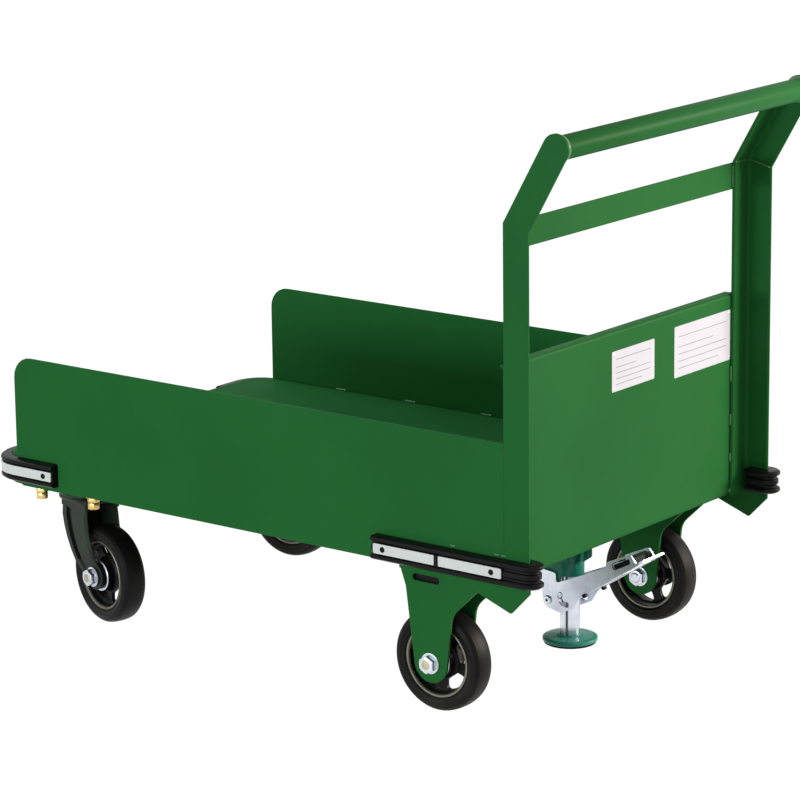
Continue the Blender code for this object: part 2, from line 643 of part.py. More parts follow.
def build_bumpers(name, side):
    """Rubber bumpers at the front corner and the rear corner, with white strips in their grooves."""
    section = bumper_section()
    make("front_bumper_" + name, sweep(section, front_path(side, 0.0), FRONT_BUMPER_Z),
         BUMPER_RUBBER, TRUCK)
    make("rear_bumper_" + name, sweep(section, rear_path(side), REAR_BUMPER_Z), BUMPER_RUBBER, TRUCK)
    back = BUMPER_RIB + SEAT
    half = STRIP_HEIGHT / 2
    flat = [(back, half), (back + STRIP_SHEET, half), (back + STRIP_SHEET, -half), (back, -half)]
    make("front_strip_" + name, sweep(flat, front_path(side, FRONT_STRIP_END), FRONT_BUMPER_Z),
         STRIP_WHITE, TRUCK)
    line = side * (BODY_HALF + SEAT)
    for number in range(STRIPS_PER_SIDE):
        start = UPRIGHT_REAR - REAR_BUMPER_LENGTH + STRIP_END + number * (STRIP_LENGTH + STRIP_GAP)
        end, low, high, turn = start + STRIP_LENGTH, REAR_BUMPER_Z - half, REAR_BUMPER_Z + half, STRIP_CORNER
        outline = rounded([(start, low, turn), (end, low, turn), (end, high, turn), (start, high, turn)], 2)
        bm = prism(outline, "y", line + side * back, line + side * (back + STRIP_SHEET))
        make(f"rear_strip_{name}_{number + 1}", bm, STRIP_WHITE, TRUCK)


# Wheels and axles

def tyre_profile():
    """Solid rubber tread with round shoulders: (radius, distance across)."""
    outer, half = WHEEL_DIAMETER / 2, TREAD_WIDTH / 2
    inner, bead = outer - TYRE_DEPTH, RIM_WIDTH / 2
    one_side = [(inner, bead), (inner + TYRE_DEPTH * 0.35, half), (outer - TYRE_DEPTH * 0.22, half * 0.92),
                (outer - TYRE_DEPTH * 0.04, half * 0.62)]
    return one_side + [(radius, -along) for radius, along in reversed(one_side)]


def core_profile():
    """Rim, thin web, flanged hub and bosses in one turned section: (radius, distance across)."""
    rim_outer = WHEEL_DIAMETER / 2 - TYRE_DEPTH - SEAT
    rim_inner = rim_outer - RIM_WALL
    hub, boss, bore = HUB_DIAMETER / 2, BOSS_DIAMETER / 2, BUSH_DIAMETER / 2 + SEAT
    web, rim, flange = WEB_THICKNESS / 2, RIM_WIDTH / 2, HUB_SPREAD / 2
    one_side = [(bore, HUB_LENGTH / 2), (boss, HUB_LENGTH / 2), (boss, flange), (hub, flange),
                (hub + HUB_FLARE, web), (rim_inner - RIM_WALL / 4, web), (rim_inner, rim), (rim_outer, rim)]
    return one_side + [(radius, -along) for radius, along in reversed(one_side)]


def web_openings(first_turn):
    """Rounded openings between the spokes, all in one tool shape."""
    inner = HUB_DIAMETER / 2 + 2 * HUB_FLARE
    outer = WHEEL_DIAMETER / 2 - TYRE_DEPTH - SEAT - RIM_WALL * 1.5
    half = math.radians(WEB_HOLE_ANGLE) / 2
    wide = outer * math.sin(half)
    narrow = inner * math.sin(half) * 0.9
    crown = outer * math.cos(half)
    small = min(WEB_HOLE_CORNER, (crown - inner) / 3)
    large = small * 5
    bm = bmesh.new()
    for number in range(WEB_HOLES):
        corners = [(inner, -narrow, small), (crown, -wide, small), (outer, 0.0, large),
                   (crown, wide, small), (inner, narrow, small)]
        turn = Matrix.Rotation(math.radians(first_turn + 360.0 * number / WEB_HOLES), 2)
        prism([turn @ point for point in rounded(corners, 2)], "y", -WEB_THICKNESS, WEB_THICKNESS, bm)
    return bm


def build_wheel(label, parent):
    """Tyre, core and bush of one wheel, turned about the parent's y axis."""
    make("tyre_" + label, revolve(tyre_profile(), "y", ROUND), TYRE_RUBBER, parent)
    core = make("wheel_core_" + label, revolve(core_profile(), "y", ROUND), WHEEL_PAINT, parent)
    shape(core, "DIFFERENCE", web_openings(WEB_TURNS[label]), "openings")
    half = LEG_INNER - RUNNING
    outer, bore = BUSH_DIAMETER / 2, AXLE_DIAMETER / 2 + SEAT
    bush = [(bore, -half), (outer, -half), (outer, half), (bore, half)]
    make("wheel_bush_" + label, revolve(bush, "y", SMALL_ROUND), ZINC, parent)


def build_axle(label, parent, side):
    """A hexagon-headed axle bolt with its head outside, and a nut on the other end."""
    head_start = LEG_OUTER + SEAT
    head_end = head_start + NUT_HEIGHT
    crown = NUT_ACROSS_FLATS * 0.92 / 2
    origin = (0.0, 0.0, 0.0)
    six, shank = hexagon(NUT_ACROSS_FLATS, SMALL_ROUND), circle(AXLE_DIAMETER / 2, SMALL_ROUND)
    eased = circle(crown, SMALL_ROUND)
    bolt_end = -side * (head_end + BOLT_END)
    bm = bmesh.new()
    skin(bm, [across(eased, origin, side * head_end), across(six, origin, side * (head_end - NUT_EASE)),
              across(six, origin, side * head_start), across(shank, origin, side * head_start),
              across(shank, origin, bolt_end)])
    make("axle_" + label, bm, ZINC, parent)
    bore = circle(AXLE_DIAMETER / 2 + SEAT, SMALL_ROUND)
    bm = bmesh.new()
    skin(bm, [across(bore, origin, -side * head_start), across(six, origin, -side * head_start),
              across(six, origin, -side * (head_end - NUT_EASE)), across(eased, origin, -side * head_end),
              across(bore, origin, -side * head_end)], loop=True)
    make("axle_nut_" + label, bm, ZINC, parent)


def axle_hole(reach, at=(0.0, 0.0, 0.0)):
    radius = AXLE_DIAMETER / 2 + SEAT
    bm = bmesh.new()
    skin(bm, [across(circle(radius, SMALL_ROUND), at, at[1] - reach),
              across(circle(radius, SMALL_ROUND), at, at[1] + reach)])
    return bm


# Fixed rear casters

def bracket_leg():
    """One leg seen from the side, about the axle: round end, tapering up to the wide top plate."""
    top = PLATE_TOP - PLATE_SHEET / 2 - AXLE_Z
    end = BRACKET_END_RADIUS
    shoulder = top - BRACKET_SHOULDER
    tongue = [(end * math.cos(a), end * math.sin(a)) for a in arc(195, 345, 8)]
    rear = rounded([tongue[-1] + (0,), (end + BRACKET_REAR_FLARE, shoulder - BRACKET_KNEE, BRACKET_KNEE),
                    (BRACKET_REAR_REACH - 2 * BRACKET_LIP, top, 0)], 5)
    front = rounded([(-BRACKET_FRONT_REACH + BRACKET_LIP, top, 0),
                     (-end - BRACKET_FRONT_FLARE, shoulder, BRACKET_KNEE * 2 / 3), tongue[0] + (0,)], 4)
    return [Vector(point) for point in tongue[1:-1]] + rear + front


def build_fixed_caster(name, side):
    """A pressed bracket: top plate and two legs bored for the axle, the outer one slotted under the plate."""
    holder = empty("fixed_axle_" + name, (REAR_AXLE_X, side * REAR_WHEEL_Y, AXLE_Z), TRUCK)
    bottom, top = PLATE_BOTTOM - AXLE_Z, PLATE_TOP - AXLE_Z
    half = LEG_OUTER + BRACKET_LIP
    corner = BRACKET_CORNER
    plate = rounded([(-BRACKET_FRONT_REACH, -half, corner), (BRACKET_REAR_REACH, -half, corner),
                     (BRACKET_REAR_REACH, half, corner), (-BRACKET_FRONT_REACH, half, corner)], 3)
    bracket = make("fixed_bracket_" + name, prism(plate, "z", bottom, top), GREEN_PAINT, holder)
    for label, low, high in (("outer_leg", LEG_INNER, LEG_OUTER), ("inner_leg", -LEG_OUTER, -LEG_INNER)):
        shape(bracket, "UNION", prism(bracket_leg(), "y", side * low, side * high), label)
    slot_top = bottom - BRACKET_SLOT_DROP
    slot_front = BRACKET_SLOT_INSET - BRACKET_FRONT_REACH
    radius = BRACKET_SLOT_HEIGHT * 0.45
    slot = rounded([(slot_front, slot_top - BRACKET_SLOT_HEIGHT, radius),
                    (slot_front + BRACKET_SLOT_LENGTH, slot_top - BRACKET_SLOT_HEIGHT, radius),
                    (slot_front + BRACKET_SLOT_LENGTH, slot_top, radius), (slot_front, slot_top, radius)], 3)
    shape(bracket, "DIFFERENCE", prism(slot, "y", 0.0, side * half), "slot")
    shape(bracket, "DIFFERENCE", axle_hole(half), "axle_hole")
    build_axle("rear_" + name, holder, side)
    build_wheel("rear_" + name, holder)


# Swivel front casters

def blend(start, control, end, t):
    """A point on the curve that leaves start and reaches end, pulled to the control point."""
    return start * (1 - t) ** 2 + control * (2 * t * (1 - t)) + end * t ** 2


def leg_edges():
    """Front and rear edge of a fork's leg from the crown down to its round end, in the leg's plane."""
    end = Vector((TRAIL, AXLE_Z))
    heel = math.radians(FORK_HEEL)
    fore = Vector((math.cos(heel), math.sin(heel))) * FORK_END_RADIUS
    top = CROWN_BOTTOM - FORK_BEND
    knee = AXLE_Z + WHEEL_DIAMETER / 4
    front = (Vector((-FORK_HALF_WIDTH, top)), Vector((-FORK_HALF_WIDTH, knee)), end - fore)
    rear = (Vector((FORK_HALF_WIDTH, top)), Vector((FORK_HALF_WIDTH, knee)), end + fore)
    edges = [(blend(*front, t / LEG_STEPS), blend(*rear, t / LEG_STEPS)) for t in range(LEG_STEPS + 1)]
    downward = Vector((fore.y, -fore.x))
    edges += [(end - fore * math.cos(a) + downward * math.sin(a),
               end + fore * math.cos(a) + downward * math.sin(a)) for a in arc(0, 80, 4)[1:]]
    return edges


def fork_leg(direction):
    """A pressed leg that sweeps back to the axle, with a flange and a broad rib raised on its outside.

    The ribs rise from the crown's face at the top and sink again at the round end.
    """
    thin = SEAT / 2
    base = LEG_OUTER - FORK_GROOVE - thin
    rings = []
    for place, (fore_edge, rear_edge) in enumerate(leg_edges()):
        rib = FORK_RIB
        if place in (0, LEG_STEPS - 1):
            rib = FORK_GROOVE
        elif place >= LEG_STEPS:
            rib = FORK_GROOVE / 4
        outside = [(fore_edge.lerp(rear_edge, share), base + rib * rise) for share, rise in FORK_RELIEF]
        inside = [(rear_edge, LEG_INNER + thin), (fore_edge, LEG_INNER + thin)]
        rings.append([(point.x, direction * out, point.y) for point, out in outside + inside])
    bm = bmesh.new()
    skin(bm, rings)
    return bm


def fork_apron():
    """The sheet that closes the fork's front between its legs, under the crown."""
    thin = SEAT / 2
    front = [fore_edge + Vector((thin, 0.0)) for fore_edge, _ in leg_edges()[:APRON_STEPS]]
    front.insert(0, Vector((front[0].x, CROWN_BOTTOM + CROWN_SHEET / 2)))
    back = [point + Vector((LEG_SHEET, 0.0)) for point in reversed(front)]
    half = LEG_INNER + thin + LEG_SHEET / 4
    return prism(front + back, "y", -half, half)


def build_swivel_caster(name, side):
    """Mounting plate, ball race and kingpin on the truck, and a fork that turns under them."""
    place = (SWIVEL_X, side * SWIVEL_Y, 0.0)
    mount = empty("swivel_mount_" + name, place, TRUCK)
    length, width, corner = SWIVEL_PLATE_LENGTH / 2, SWIVEL_PLATE_WIDTH / 2, SWIVEL_PLATE_CORNER
    outline = rounded([(-length, -width, corner), (length, -width, corner),
                       (length, width, corner), (-length, width, corner)], 3)
    make("swivel_plate_" + name, prism(outline, "z", PLATE_BOTTOM, PLATE_TOP), FORK_PAINT, mount)
    outer, inner = RACE_DIAMETER / 2, RACE_DIAMETER / 2 - RACE_WIDTH
    low, high = RACE_BOTTOM, RACE_BOTTOM + RACE_HEIGHT
    race = [(inner, low), (outer - 2 * RACE_EASE, low), (outer, low + 2 * RACE_EASE),
            (outer, high - RACE_EASE), (outer - RACE_EASE, high), (inner, high)]
    make("ball_race_" + name, revolve(race, "z", ROUND), FORK_PAINT, mount)
    build_kingpin(name, mount)
    turntable = empty("swivel_" + name, place, TRUCK, (0.0, 0.0, math.radians(SWIVEL_ANGLES[name])))
    build_fork(name, turntable)
    axle = empty("swivel_axle_" + name, (TRAIL, 0.0, AXLE_Z), turntable)
    build_axle("front_" + name, axle, side)
    build_wheel("front_" + name, axle)


def build_kingpin(name, parent):
    """A pin down from the mounting plate with a nut under the fork's crown."""
    pin, six = circle(KINGPIN_DIAMETER / 2, SMALL_ROUND), hexagon(KINGPIN_DIAMETER * 1.6, SMALL_ROUND)
    nut_top = CROWN_BOTTOM - SEAT
    levels = ((pin, PLATE_BOTTOM - SEAT), (pin, nut_top), (six, nut_top), (six, nut_top - KINGPIN_NUT),
              (pin, nut_top - KINGPIN_NUT), (pin, nut_top - KINGPIN_NUT - KINGPIN_END))
    bm = bmesh.new()
    skin(bm, [[(a, b, z) for a, b in outline] for outline, z in levels])
    make("kingpin_" + name, bm, ZINC, parent)


def build_fork(name, turntable):
    """A crown turned down at both sides and at the front, and two ribbed legs bored for the axle."""
    low, inner_bend = CROWN_BOTTOM - FORK_BEND - FORK_LAP, FORK_BEND - LEG_SHEET
    saddle = rounded([
        (-LEG_OUTER, low, 0), (-LEG_INNER, low, 0), (-LEG_INNER, CROWN_BOTTOM, inner_bend),
        (LEG_INNER, CROWN_BOTTOM, inner_bend), (LEG_INNER, low, 0), (LEG_OUTER, low, 0),
        (LEG_OUTER, CROWN_TOP, FORK_BEND), (-LEG_OUTER, CROWN_TOP, FORK_BEND)], 4)
    half = FORK_HALF_WIDTH + LEG_SHEET / 4
    fork = make("fork_" + name, prism(saddle, "x", -half, half), FORK_PAINT, turntable)
    shape(fork, "UNION", fork_leg(1), "leg_a")
    shape(fork, "UNION", fork_leg(-1), "leg_b")
    shape(fork, "UNION", fork_apron(), "apron")
    shape(fork, "DIFFERENCE", axle_hole(LEG_OUTER * 1.2, (TRAIL, 0.0, AXLE_Z)), "axle_hole")
    pin_hole = [(0.0, CROWN_TOP + LEG_SHEET), (KINGPIN_DIAMETER / 2 + RUNNING, CROWN_TOP + LEG_SHEET),
                (KINGPIN_DIAMETER / 2 + RUNNING, CROWN_BOTTOM - LEG_SHEET), (0.0, CROWN_BOTTOM - LEG_SHEET)]
    shape(fork, "DIFFERENCE", revolve(pin_hole, "z", SMALL_ROUND), "kingpin_hole")


# Floor lock

LOCK_TOP = BEAM_BOTTOM - SEAT
LOCK_FLANGE_BOTTOM = LOCK_TOP - LOCK_FLANGE_SHEET
PIVOT_Z = LOCK_TOP - PIVOT_DROP
PIVOT_X = LOCK_X - PIVOT_BACKSET
GUIDE_BORE = POST_DIAMETER / 2 + RUNNING
GUIDE_OUTER = GUIDE_BORE + GUIDE_WALL
EAR_INNER = POST_DIAMETER / 2 + 2 * RUNNING
EAR_OUTER = EAR_INNER + EAR_SHEET
CHEEK_INNER = max(EAR_OUTER, GUIDE_OUTER) + RUNNING
CHEEK_OUTER = CHEEK_INNER + PEDAL_SHEET
TILT = math.radians(PEDAL_TILT)


def lock_pin(reach, radius, x, z):
    """A plain round tool or pin across the truck."""
    bm = bmesh.new()
    skin(bm, [across(circle(radius, SMALL_ROUND), (x, 0.0, z), -reach),
              across(circle(radius, SMALL_ROUND), (x, 0.0, z), reach)])
    return bm


def build_lock_body():
    """A cast guide with fins under a bolting flange, and two ears that carry the pedal's pivot.

    Drawn about the post's axis.
    """
    mount = empty("lock_mount", (LOCK_X, 0.0, 0.0), TRUCK)
    length, width, corner = LOCK_FLANGE_LENGTH / 2, LOCK_FLANGE_WIDTH / 2, LOCK_FLANGE_CORNER
    flange = rounded([(-length, -width, corner), (length, -width, corner),
                      (length, width, corner), (-length, width, corner)], 3)
    body = make("lock_body", prism(flange, "z", LOCK_FLANGE_BOTTOM, LOCK_TOP), LOCK_PAINT, mount)
    inside_flange = LOCK_FLANGE_BOTTOM + LOCK_FLANGE_SHEET / 2
    tube_end = LOCK_FLANGE_BOTTOM - GUIDE_LENGTH
    barrel = [(0.0, inside_flange), (GUIDE_OUTER, inside_flange), (GUIDE_OUTER, tube_end), (0.0, tube_end)]
    shape(body, "UNION", revolve(barrel, "z", SMALL_ROUND), "barrel")
    fins = bmesh.new()
    for number in range(FIN_COUNT):
        angle = 2 * math.pi * (number + 0.5) / FIN_COUNT
        root = GUIDE_BORE + GUIDE_WALL / 2
        outline = [(root, inside_flange), (FIN_REACH, inside_flange),
                   (FIN_REACH, inside_flange - FIN_LENGTH * 0.8), (root, inside_flange - FIN_LENGTH)]
        start = len(fins.verts)
        prism(outline, "y", -FIN_THICKNESS / 2, FIN_THICKNESS / 2, fins)
        fins.verts.ensure_lookup_table()
        bmesh.ops.transform(fins, matrix=Matrix.Rotation(angle, 4, "Z"), verts=fins.verts[start:])
    shape(body, "UNION", fins, "fins")
    fore, rear, low = -PIVOT_BACKSET - EAR_RADIUS, -PIVOT_BACKSET + EAR_RADIUS, PIVOT_Z - EAR_RADIUS
    nearly_round = EAR_RADIUS * 0.98
    ear = rounded([
        (fore, low, nearly_round), (rear, low, nearly_round),
        (rear + EAR_RADIUS * 0.6, low + EAR_RADIUS * 3.6, EAR_RADIUS),
        (EAR_RADIUS * 0.6, inside_flange, 0), (fore, inside_flange, 0)], 4)
    for label, direction in (("left_ear", -1), ("right_ear", 1)):
        shape(body, "UNION", prism(ear, "y", direction * EAR_INNER, direction * EAR_OUTER), label)
    bore = [(0.0, LOCK_TOP - LOCK_FLANGE_SHEET * 0.5), (GUIDE_BORE, LOCK_TOP - LOCK_FLANGE_SHEET * 0.5),
            (GUIDE_BORE, PIVOT_Z - POST_DIAMETER), (0.0, PIVOT_Z - POST_DIAMETER)]
    shape(body, "DIFFERENCE", revolve(bore, "z", SMALL_ROUND), "bore")
    pivot_hole = lock_pin(FIN_REACH, PIVOT_DIAMETER / 2 + SEAT, -PIVOT_BACKSET, PIVOT_Z)
    shape(body, "DIFFERENCE", pivot_hole, "pivot_hole")


def build_lock_post():
    """The sliding post, its cross roller, and the cup and rubber pad at its foot."""
    slider = empty("lock_slide", (LOCK_X, 0.0, PIVOT_Z), TRUCK)
    pad_bottom = LOCK_STROKE - PIVOT_Z
    cup_bottom = pad_bottom + PAD_RUBBER + SEAT
    cup_top = cup_bottom + PAD_CUP
    post_top = LOCK_FLANGE_BOTTOM - POST_TOP_GAP - PIVOT_Z
    radius = POST_DIAMETER / 2
    post = [(0.0, post_top), (radius - POST_EASE, post_top), (radius, post_top - POST_EASE),
            (radius, cup_top + SEAT), (0.0, cup_top + SEAT)]
    bar = make("lock_post", revolve(post, "z", SMALL_ROUND), ZINC, slider)
    height = PIVOT_BACKSET * math.tan(TILT)
    shape(bar, "DIFFERENCE", lock_pin(POST_DIAMETER, ROLLER_DIAMETER / 2 + SEAT, 0.0, height), "pin_hole")
    make("lock_pin", lock_pin(CHEEK_OUTER + ROLLER_END, ROLLER_DIAMETER / 2, 0.0, height), ZINC, slider)
    outer, rim = PAD_DIAMETER / 2, cup_bottom + PAD_SIDE
    cup = [(0.0, cup_top), (radius + PAD_EASE * 3, cup_top), (outer - PAD_EASE * 3, rim + PAD_EASE),
           (outer - PAD_EASE, rim), (outer, rim - PAD_EASE), (outer, cup_bottom), (0.0, cup_bottom)]
    make("pad_cup", revolve(cup, "z", ROUND), LOCK_PAINT, slider)
    rubber = [(0.0, cup_bottom - SEAT), (outer - PAD_EASE, cup_bottom - SEAT),
              (outer - PAD_EASE * 1.5, pad_bottom), (0.0, pad_bottom)]
    make("pad_rubber", revolve(rubber, "z", ROUND), TYRE_RUBBER, slider)


def cam_slot():
    """The slot that the post's pin runs in, shaped so that the post sinks evenly as the pedal turns.

    Drawn in the pedal's own frame: along the arm from the pivot, and up from it.
    """
    radius = ROLLER_DIAMETER / 2 + RUNNING
    turn = math.radians(PEDAL_TURN)
    centres = []
    for step in range(CAM_STEPS + 1):
        share = step / CAM_STEPS
        pin = Vector((PIVOT_BACKSET, PIVOT_BACKSET * math.tan(TILT) - LOCK_STROKE * share))
        centres.append(Matrix.Rotation(turn * share - TILT, 2) @ pin)
    ahead = (centres[1] - centres[0]).normalized()
    behind = (centres[-2] - centres[-1]).normalized()
    start = [centres[0] + Matrix.Rotation(a, 2) @ ahead * radius for a in arc(90, 270, 6)]
    end = [centres[-1] + Matrix.Rotation(a, 2) @ behind * radius for a in arc(90, 270, 6)]
    normals = []
    for before, after in zip(centres, centres[2:]):
        along = (after - before).normalized()
        normals.append(Vector((along.y, -along.x)) * radius)
    middle = centres[1:-1]
    right = [point + normal for point, normal in zip(middle, normals)]
    left = [point - normal for point, normal in zip(middle, normals)]
    return start + right + end + left[::-1]


def pedal_underside(along):
    """The arm's lower edge: how high it lies over the pedal's line."""
    return (along - PEDAL_BELLY) * math.tan(math.radians(PEDAL_RISE)) - PEDAL_BELLY_DROP


def pedal_cheek():
    """One side of the pedal: round heel with a tab, lobe round the cam slot, straight arm and a frame."""
    slot = cam_slot()
    lobe_low = min(point.y for point in slot) - CAM_WALL
    lobe_front = min(point.x for point in slot) - CAM_WALL
    lobe_rear = max(point.x for point in slot) + CAM_WALL
    edge, small, wide = PEDAL_SHEET / 3, PEDAL_SHEET, PEDAL_HEEL * 0.95
    return rounded([
        (-PEDAL_HEEL, -PEDAL_HEEL / 2, wide), (lobe_front, lobe_low, wide), (lobe_rear, lobe_low, small * 2),
        (PEDAL_BELLY, -PEDAL_BELLY_DROP, wide), (TREAD_WALL_END, pedal_underside(TREAD_WALL_END), 0),
        (TREAD_WALL_END + small, pedal_underside(TREAD_WALL_END) + 2 * small, 0),
        (TREAD_WALL_END, TREAD_WALL - edge, small), (TREAD_START, TREAD_WALL + edge, small),
        (TREAD_START - edge, PEDAL_ARM_ABOVE, 0), (PEDAL_HEEL * 2.2, TREAD_WALL, small),
        (PEDAL_HEEL * 2.8, PEDAL_TAB * 0.68, small), (PEDAL_HEEL * 0.8, PEDAL_TAB, small),
        (PEDAL_HEEL * 0.2, PEDAL_TAB * 0.67, small)], 2)


def tread_openings():
    """The opening in each of the tread's side walls."""
    fore, rear = TREAD_START + TREAD_FRAME * 1.5, TREAD_WALL_END - TREAD_FRAME
    low, high = pedal_underside(TREAD_WALL_END) + 1.5 * TREAD_FRAME, TREAD_WALL - TREAD_FRAME * 0.7
    reach, small = CHEEK_OUTER * 1.2, TREAD_FRAME * 0.7
    return prism(rounded([(fore, low, small), (rear, low, small), (rear, high, small),
                          (fore, high, small)], 2), "y", -reach, reach)


def build_pedal():
    """A bent zinc pedal: two cheeks, and a web between them that widens into a slotted tread."""
    pivot = empty("pedal_pivot", (PIVOT_X, 0.0, PIVOT_Z), TRUCK, (0.0, -TILT, 0.0))
    thick = PEDAL_SHEET
    narrow, wide = CHEEK_OUTER - thick / 4, TREAD_PLATE_WIDTH / 2
    widening, end = TREAD_START - PEDAL_WEB_START, PEDAL_LENGTH - PEDAL_WEB_START - thick
    plate = prism(rounded([
        (0.0, -narrow, thick), (widening, -narrow, 0), (widening, -wide, thick), (end, -wide, 2 * thick),
        (end, wide, 2 * thick), (widening, wide, thick), (widening, narrow, 0), (0.0, narrow, thick)], 3),
        "z", thick / 5, thick * 1.2)
    slots = bmesh.new()
    pitch = (end - widening) / (TREAD_SLOTS + 1)
    for number in range(TREAD_SLOTS):
        middle = widening + pitch * (number + 1)
        half, reach = TREAD_SLOT_WIDTH / 2, CHEEK_INNER - thick
        prism(rounded([(middle - half, -reach, thick), (middle + half, -reach, thick),
                       (middle + half, reach, thick), (middle - half, reach, thick)], 2),
              "z", -thick, 3 * thick, slots)
    set_up = (Matrix.Translation((PEDAL_WEB_START, 0.0, pedal_underside(PEDAL_WEB_START)))
              @ Matrix.Rotation(-math.radians(PEDAL_RISE), 4, "Y"))
    for tool in (plate, slots):
        bmesh.ops.transform(tool, matrix=set_up, verts=tool.verts)
    pedal = make("lock_pedal", plate, ZINC, pivot)
    for label, direction in (("left_cheek", -1), ("right_cheek", 1)):
        cheek = prism(pedal_cheek(), "y", direction * CHEEK_INNER, direction * CHEEK_OUTER)
        shape(pedal, "UNION", cheek, label)
    shape(pedal, "DIFFERENCE", slots, "slots")
    shape(pedal, "DIFFERENCE", tread_openings(), "openings")
    reach = CHEEK_OUTER * 1.2
    shape(pedal, "DIFFERENCE", prism(cam_slot(), "y", -reach, reach), "cam_slots")
    shape(pedal, "DIFFERENCE", lock_pin(reach, PIVOT_DIAMETER / 2 + RUNNING, 0.0, 0.0), "pivot_hole")


def build_pivot_pin():
    """A headed tube through the ears and cheeks, with the return spring wound on it."""
    outer, bore = PIVOT_DIAMETER / 2, PIVOT_DIAMETER / 4
    end = CHEEK_OUTER + RUNNING
    head = end + PIVOT_HEAD
    flare = outer + PIVOT_HEAD
    tube = [(bore, -head), (flare, -head), (flare, -end), (outer, -end), (outer, end), (flare, end),
            (flare, head), (bore, head)]
    make("pedal_pin", revolve(tube, "y", SMALL_ROUND, (PIVOT_X, 0.0, PIVOT_Z)), ZINC, TRUCK)
    wire = SPRING_WIRE / 2
    coil = outer + RUNNING + wire
    room = 2 * EAR_INNER - 2 * SPRING_WIRE
    count = SPRING_TURNS * SPRING_FACETS
    rings = []
    for step in range(count + 1):
        angle = 2 * math.pi * step / SPRING_FACETS
        outward = Vector((math.cos(angle), 0.0, math.sin(angle)))
        centre = Vector((PIVOT_X, -room / 2 + room * step / count, PIVOT_Z)) + outward * coil
        rings.append([centre + outward * a + Vector((0, b, 0)) for a, b in circle(wire, 5)])
    bm = bmesh.new()
    skin(bm, rings)
    make("pedal_spring", bm, ZINC, TRUCK)


build_deck()
build_beams()
build_end_panel()
build_handle()
for side_name, side_sign in SIDES:
    build_side_panel(side_name, side_sign)
    build_upright(side_name, side_sign)
    build_foot_plate(side_name, side_sign)
    build_bumpers(side_name, side_sign)
    build_fixed_caster(side_name, side_sign)
    build_swivel_caster(side_name, side_sign)
build_lock_body()
build_lock_post()
build_pedal()
build_pivot_pin()
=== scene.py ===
"""Green steel platform truck: finishes, turned and welded details, studio and camera."""
import json
import math

import bpy
from mathutils import Matrix, Vector


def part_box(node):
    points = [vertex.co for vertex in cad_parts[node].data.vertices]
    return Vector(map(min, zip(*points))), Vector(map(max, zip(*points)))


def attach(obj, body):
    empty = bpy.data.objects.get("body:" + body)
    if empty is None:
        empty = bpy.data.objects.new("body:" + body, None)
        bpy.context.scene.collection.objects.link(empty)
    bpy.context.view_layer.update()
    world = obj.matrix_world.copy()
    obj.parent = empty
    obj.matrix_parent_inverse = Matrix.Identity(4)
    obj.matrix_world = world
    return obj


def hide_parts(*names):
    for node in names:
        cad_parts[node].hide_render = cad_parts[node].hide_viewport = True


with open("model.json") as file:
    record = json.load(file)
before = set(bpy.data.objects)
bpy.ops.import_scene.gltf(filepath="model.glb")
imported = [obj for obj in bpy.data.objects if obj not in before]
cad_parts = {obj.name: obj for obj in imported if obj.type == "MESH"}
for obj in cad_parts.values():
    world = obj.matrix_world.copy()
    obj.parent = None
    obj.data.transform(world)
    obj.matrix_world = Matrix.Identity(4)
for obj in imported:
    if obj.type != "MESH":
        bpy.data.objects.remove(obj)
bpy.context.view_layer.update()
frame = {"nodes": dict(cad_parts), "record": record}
NODES = frame["nodes"]
SIDES = ("left", "right")
SIDE_SIGNS = (("left", -1), ("right", 1))       # the sign of y on each side

# Camera: the picture's own angle, in an 800 by 800 frame
PICTURE_SIZE = 800
FOCAL_PIXELS = 3587.5
SENSOR_WIDTH = 36.0
CAMERA_SPOT = (3.05261, -3.90460, 1.56127)
CAMERA_AZIMUTH = math.radians(37.8866)
CAMERA_HEIGHT_ANGLE = math.radians(13.8715)
CAMERA_ROLL = math.radians(-0.6868)


# Colours

def shade(red, green, blue):
    """Display values from 0 to 255 as the linear colour that a shader takes."""
    def channel(value):
        value = value / 255
        return value / 12.92 if value <= 0.04045 else ((value + 0.055) / 1.055) ** 2.4
    return (channel(red), channel(green), channel(blue), 1.0)


# Shader groups shared by the finishes

def new_group(name, inputs, outputs):
    """An empty shader group with its named sockets, and its two end nodes."""
    tree = bpy.data.node_groups.new(name, "ShaderNodeTree")
    for label, kind, value in inputs:
        socket = tree.interface.new_socket(label, in_out="INPUT", socket_type="NodeSocket" + kind)
        socket.default_value = value
    for label, kind in outputs:
        tree.interface.new_socket(label, in_out="OUTPUT", socket_type="NodeSocket" + kind)
    enter = tree.nodes.new("NodeGroupInput")
    leave = tree.nodes.new("NodeGroupOutput")
    return tree, enter, leave


def add(tree, kind, settings=None, **values):
    """A new node with its settings and unlinked socket values, or links where a socket is given."""
    node = tree.nodes.new("ShaderNode" + kind)
    for label, value in (settings or {}).items():
        setattr(node, label, value)
    for label, value in values.items():
        socket = node.inputs[int(label[1:])] if label[0] == "i" and label[1:].isdigit() \
            else node.inputs[label.replace("_", " ")]
        if isinstance(value, bpy.types.NodeSocket):
            tree.links.new(value, socket)
        else:
            socket.default_value = value
    return node


def ramp(tree, value, low, high):
    """The value stretched so that low gives 0 and high gives 1."""
    node = add(tree, "MapRange", {"interpolation_type": "SMOOTHSTEP"},
               Value=value, From_Min=low, From_Max=high)
    return node.outputs["Result"]


def times(tree, first, second):
    """The product of two values or sockets."""
    return add(tree, "Math", {"operation": "MULTIPLY"}, i0=first, i1=second).outputs[0]


def plus(tree, first, second):
    """The sum of two values or sockets."""
    return add(tree, "Math", {"operation": "ADD"}, i0=first, i1=second).outputs[0]


def blend_colour(tree, factor, first, second):
    """The first colour where the factor is 0, and the second where it is 1."""
    node = add(tree, "Mix", {"data_type": "RGBA"}, i0=factor, i6=first, i7=second)
    return node.outputs[2]


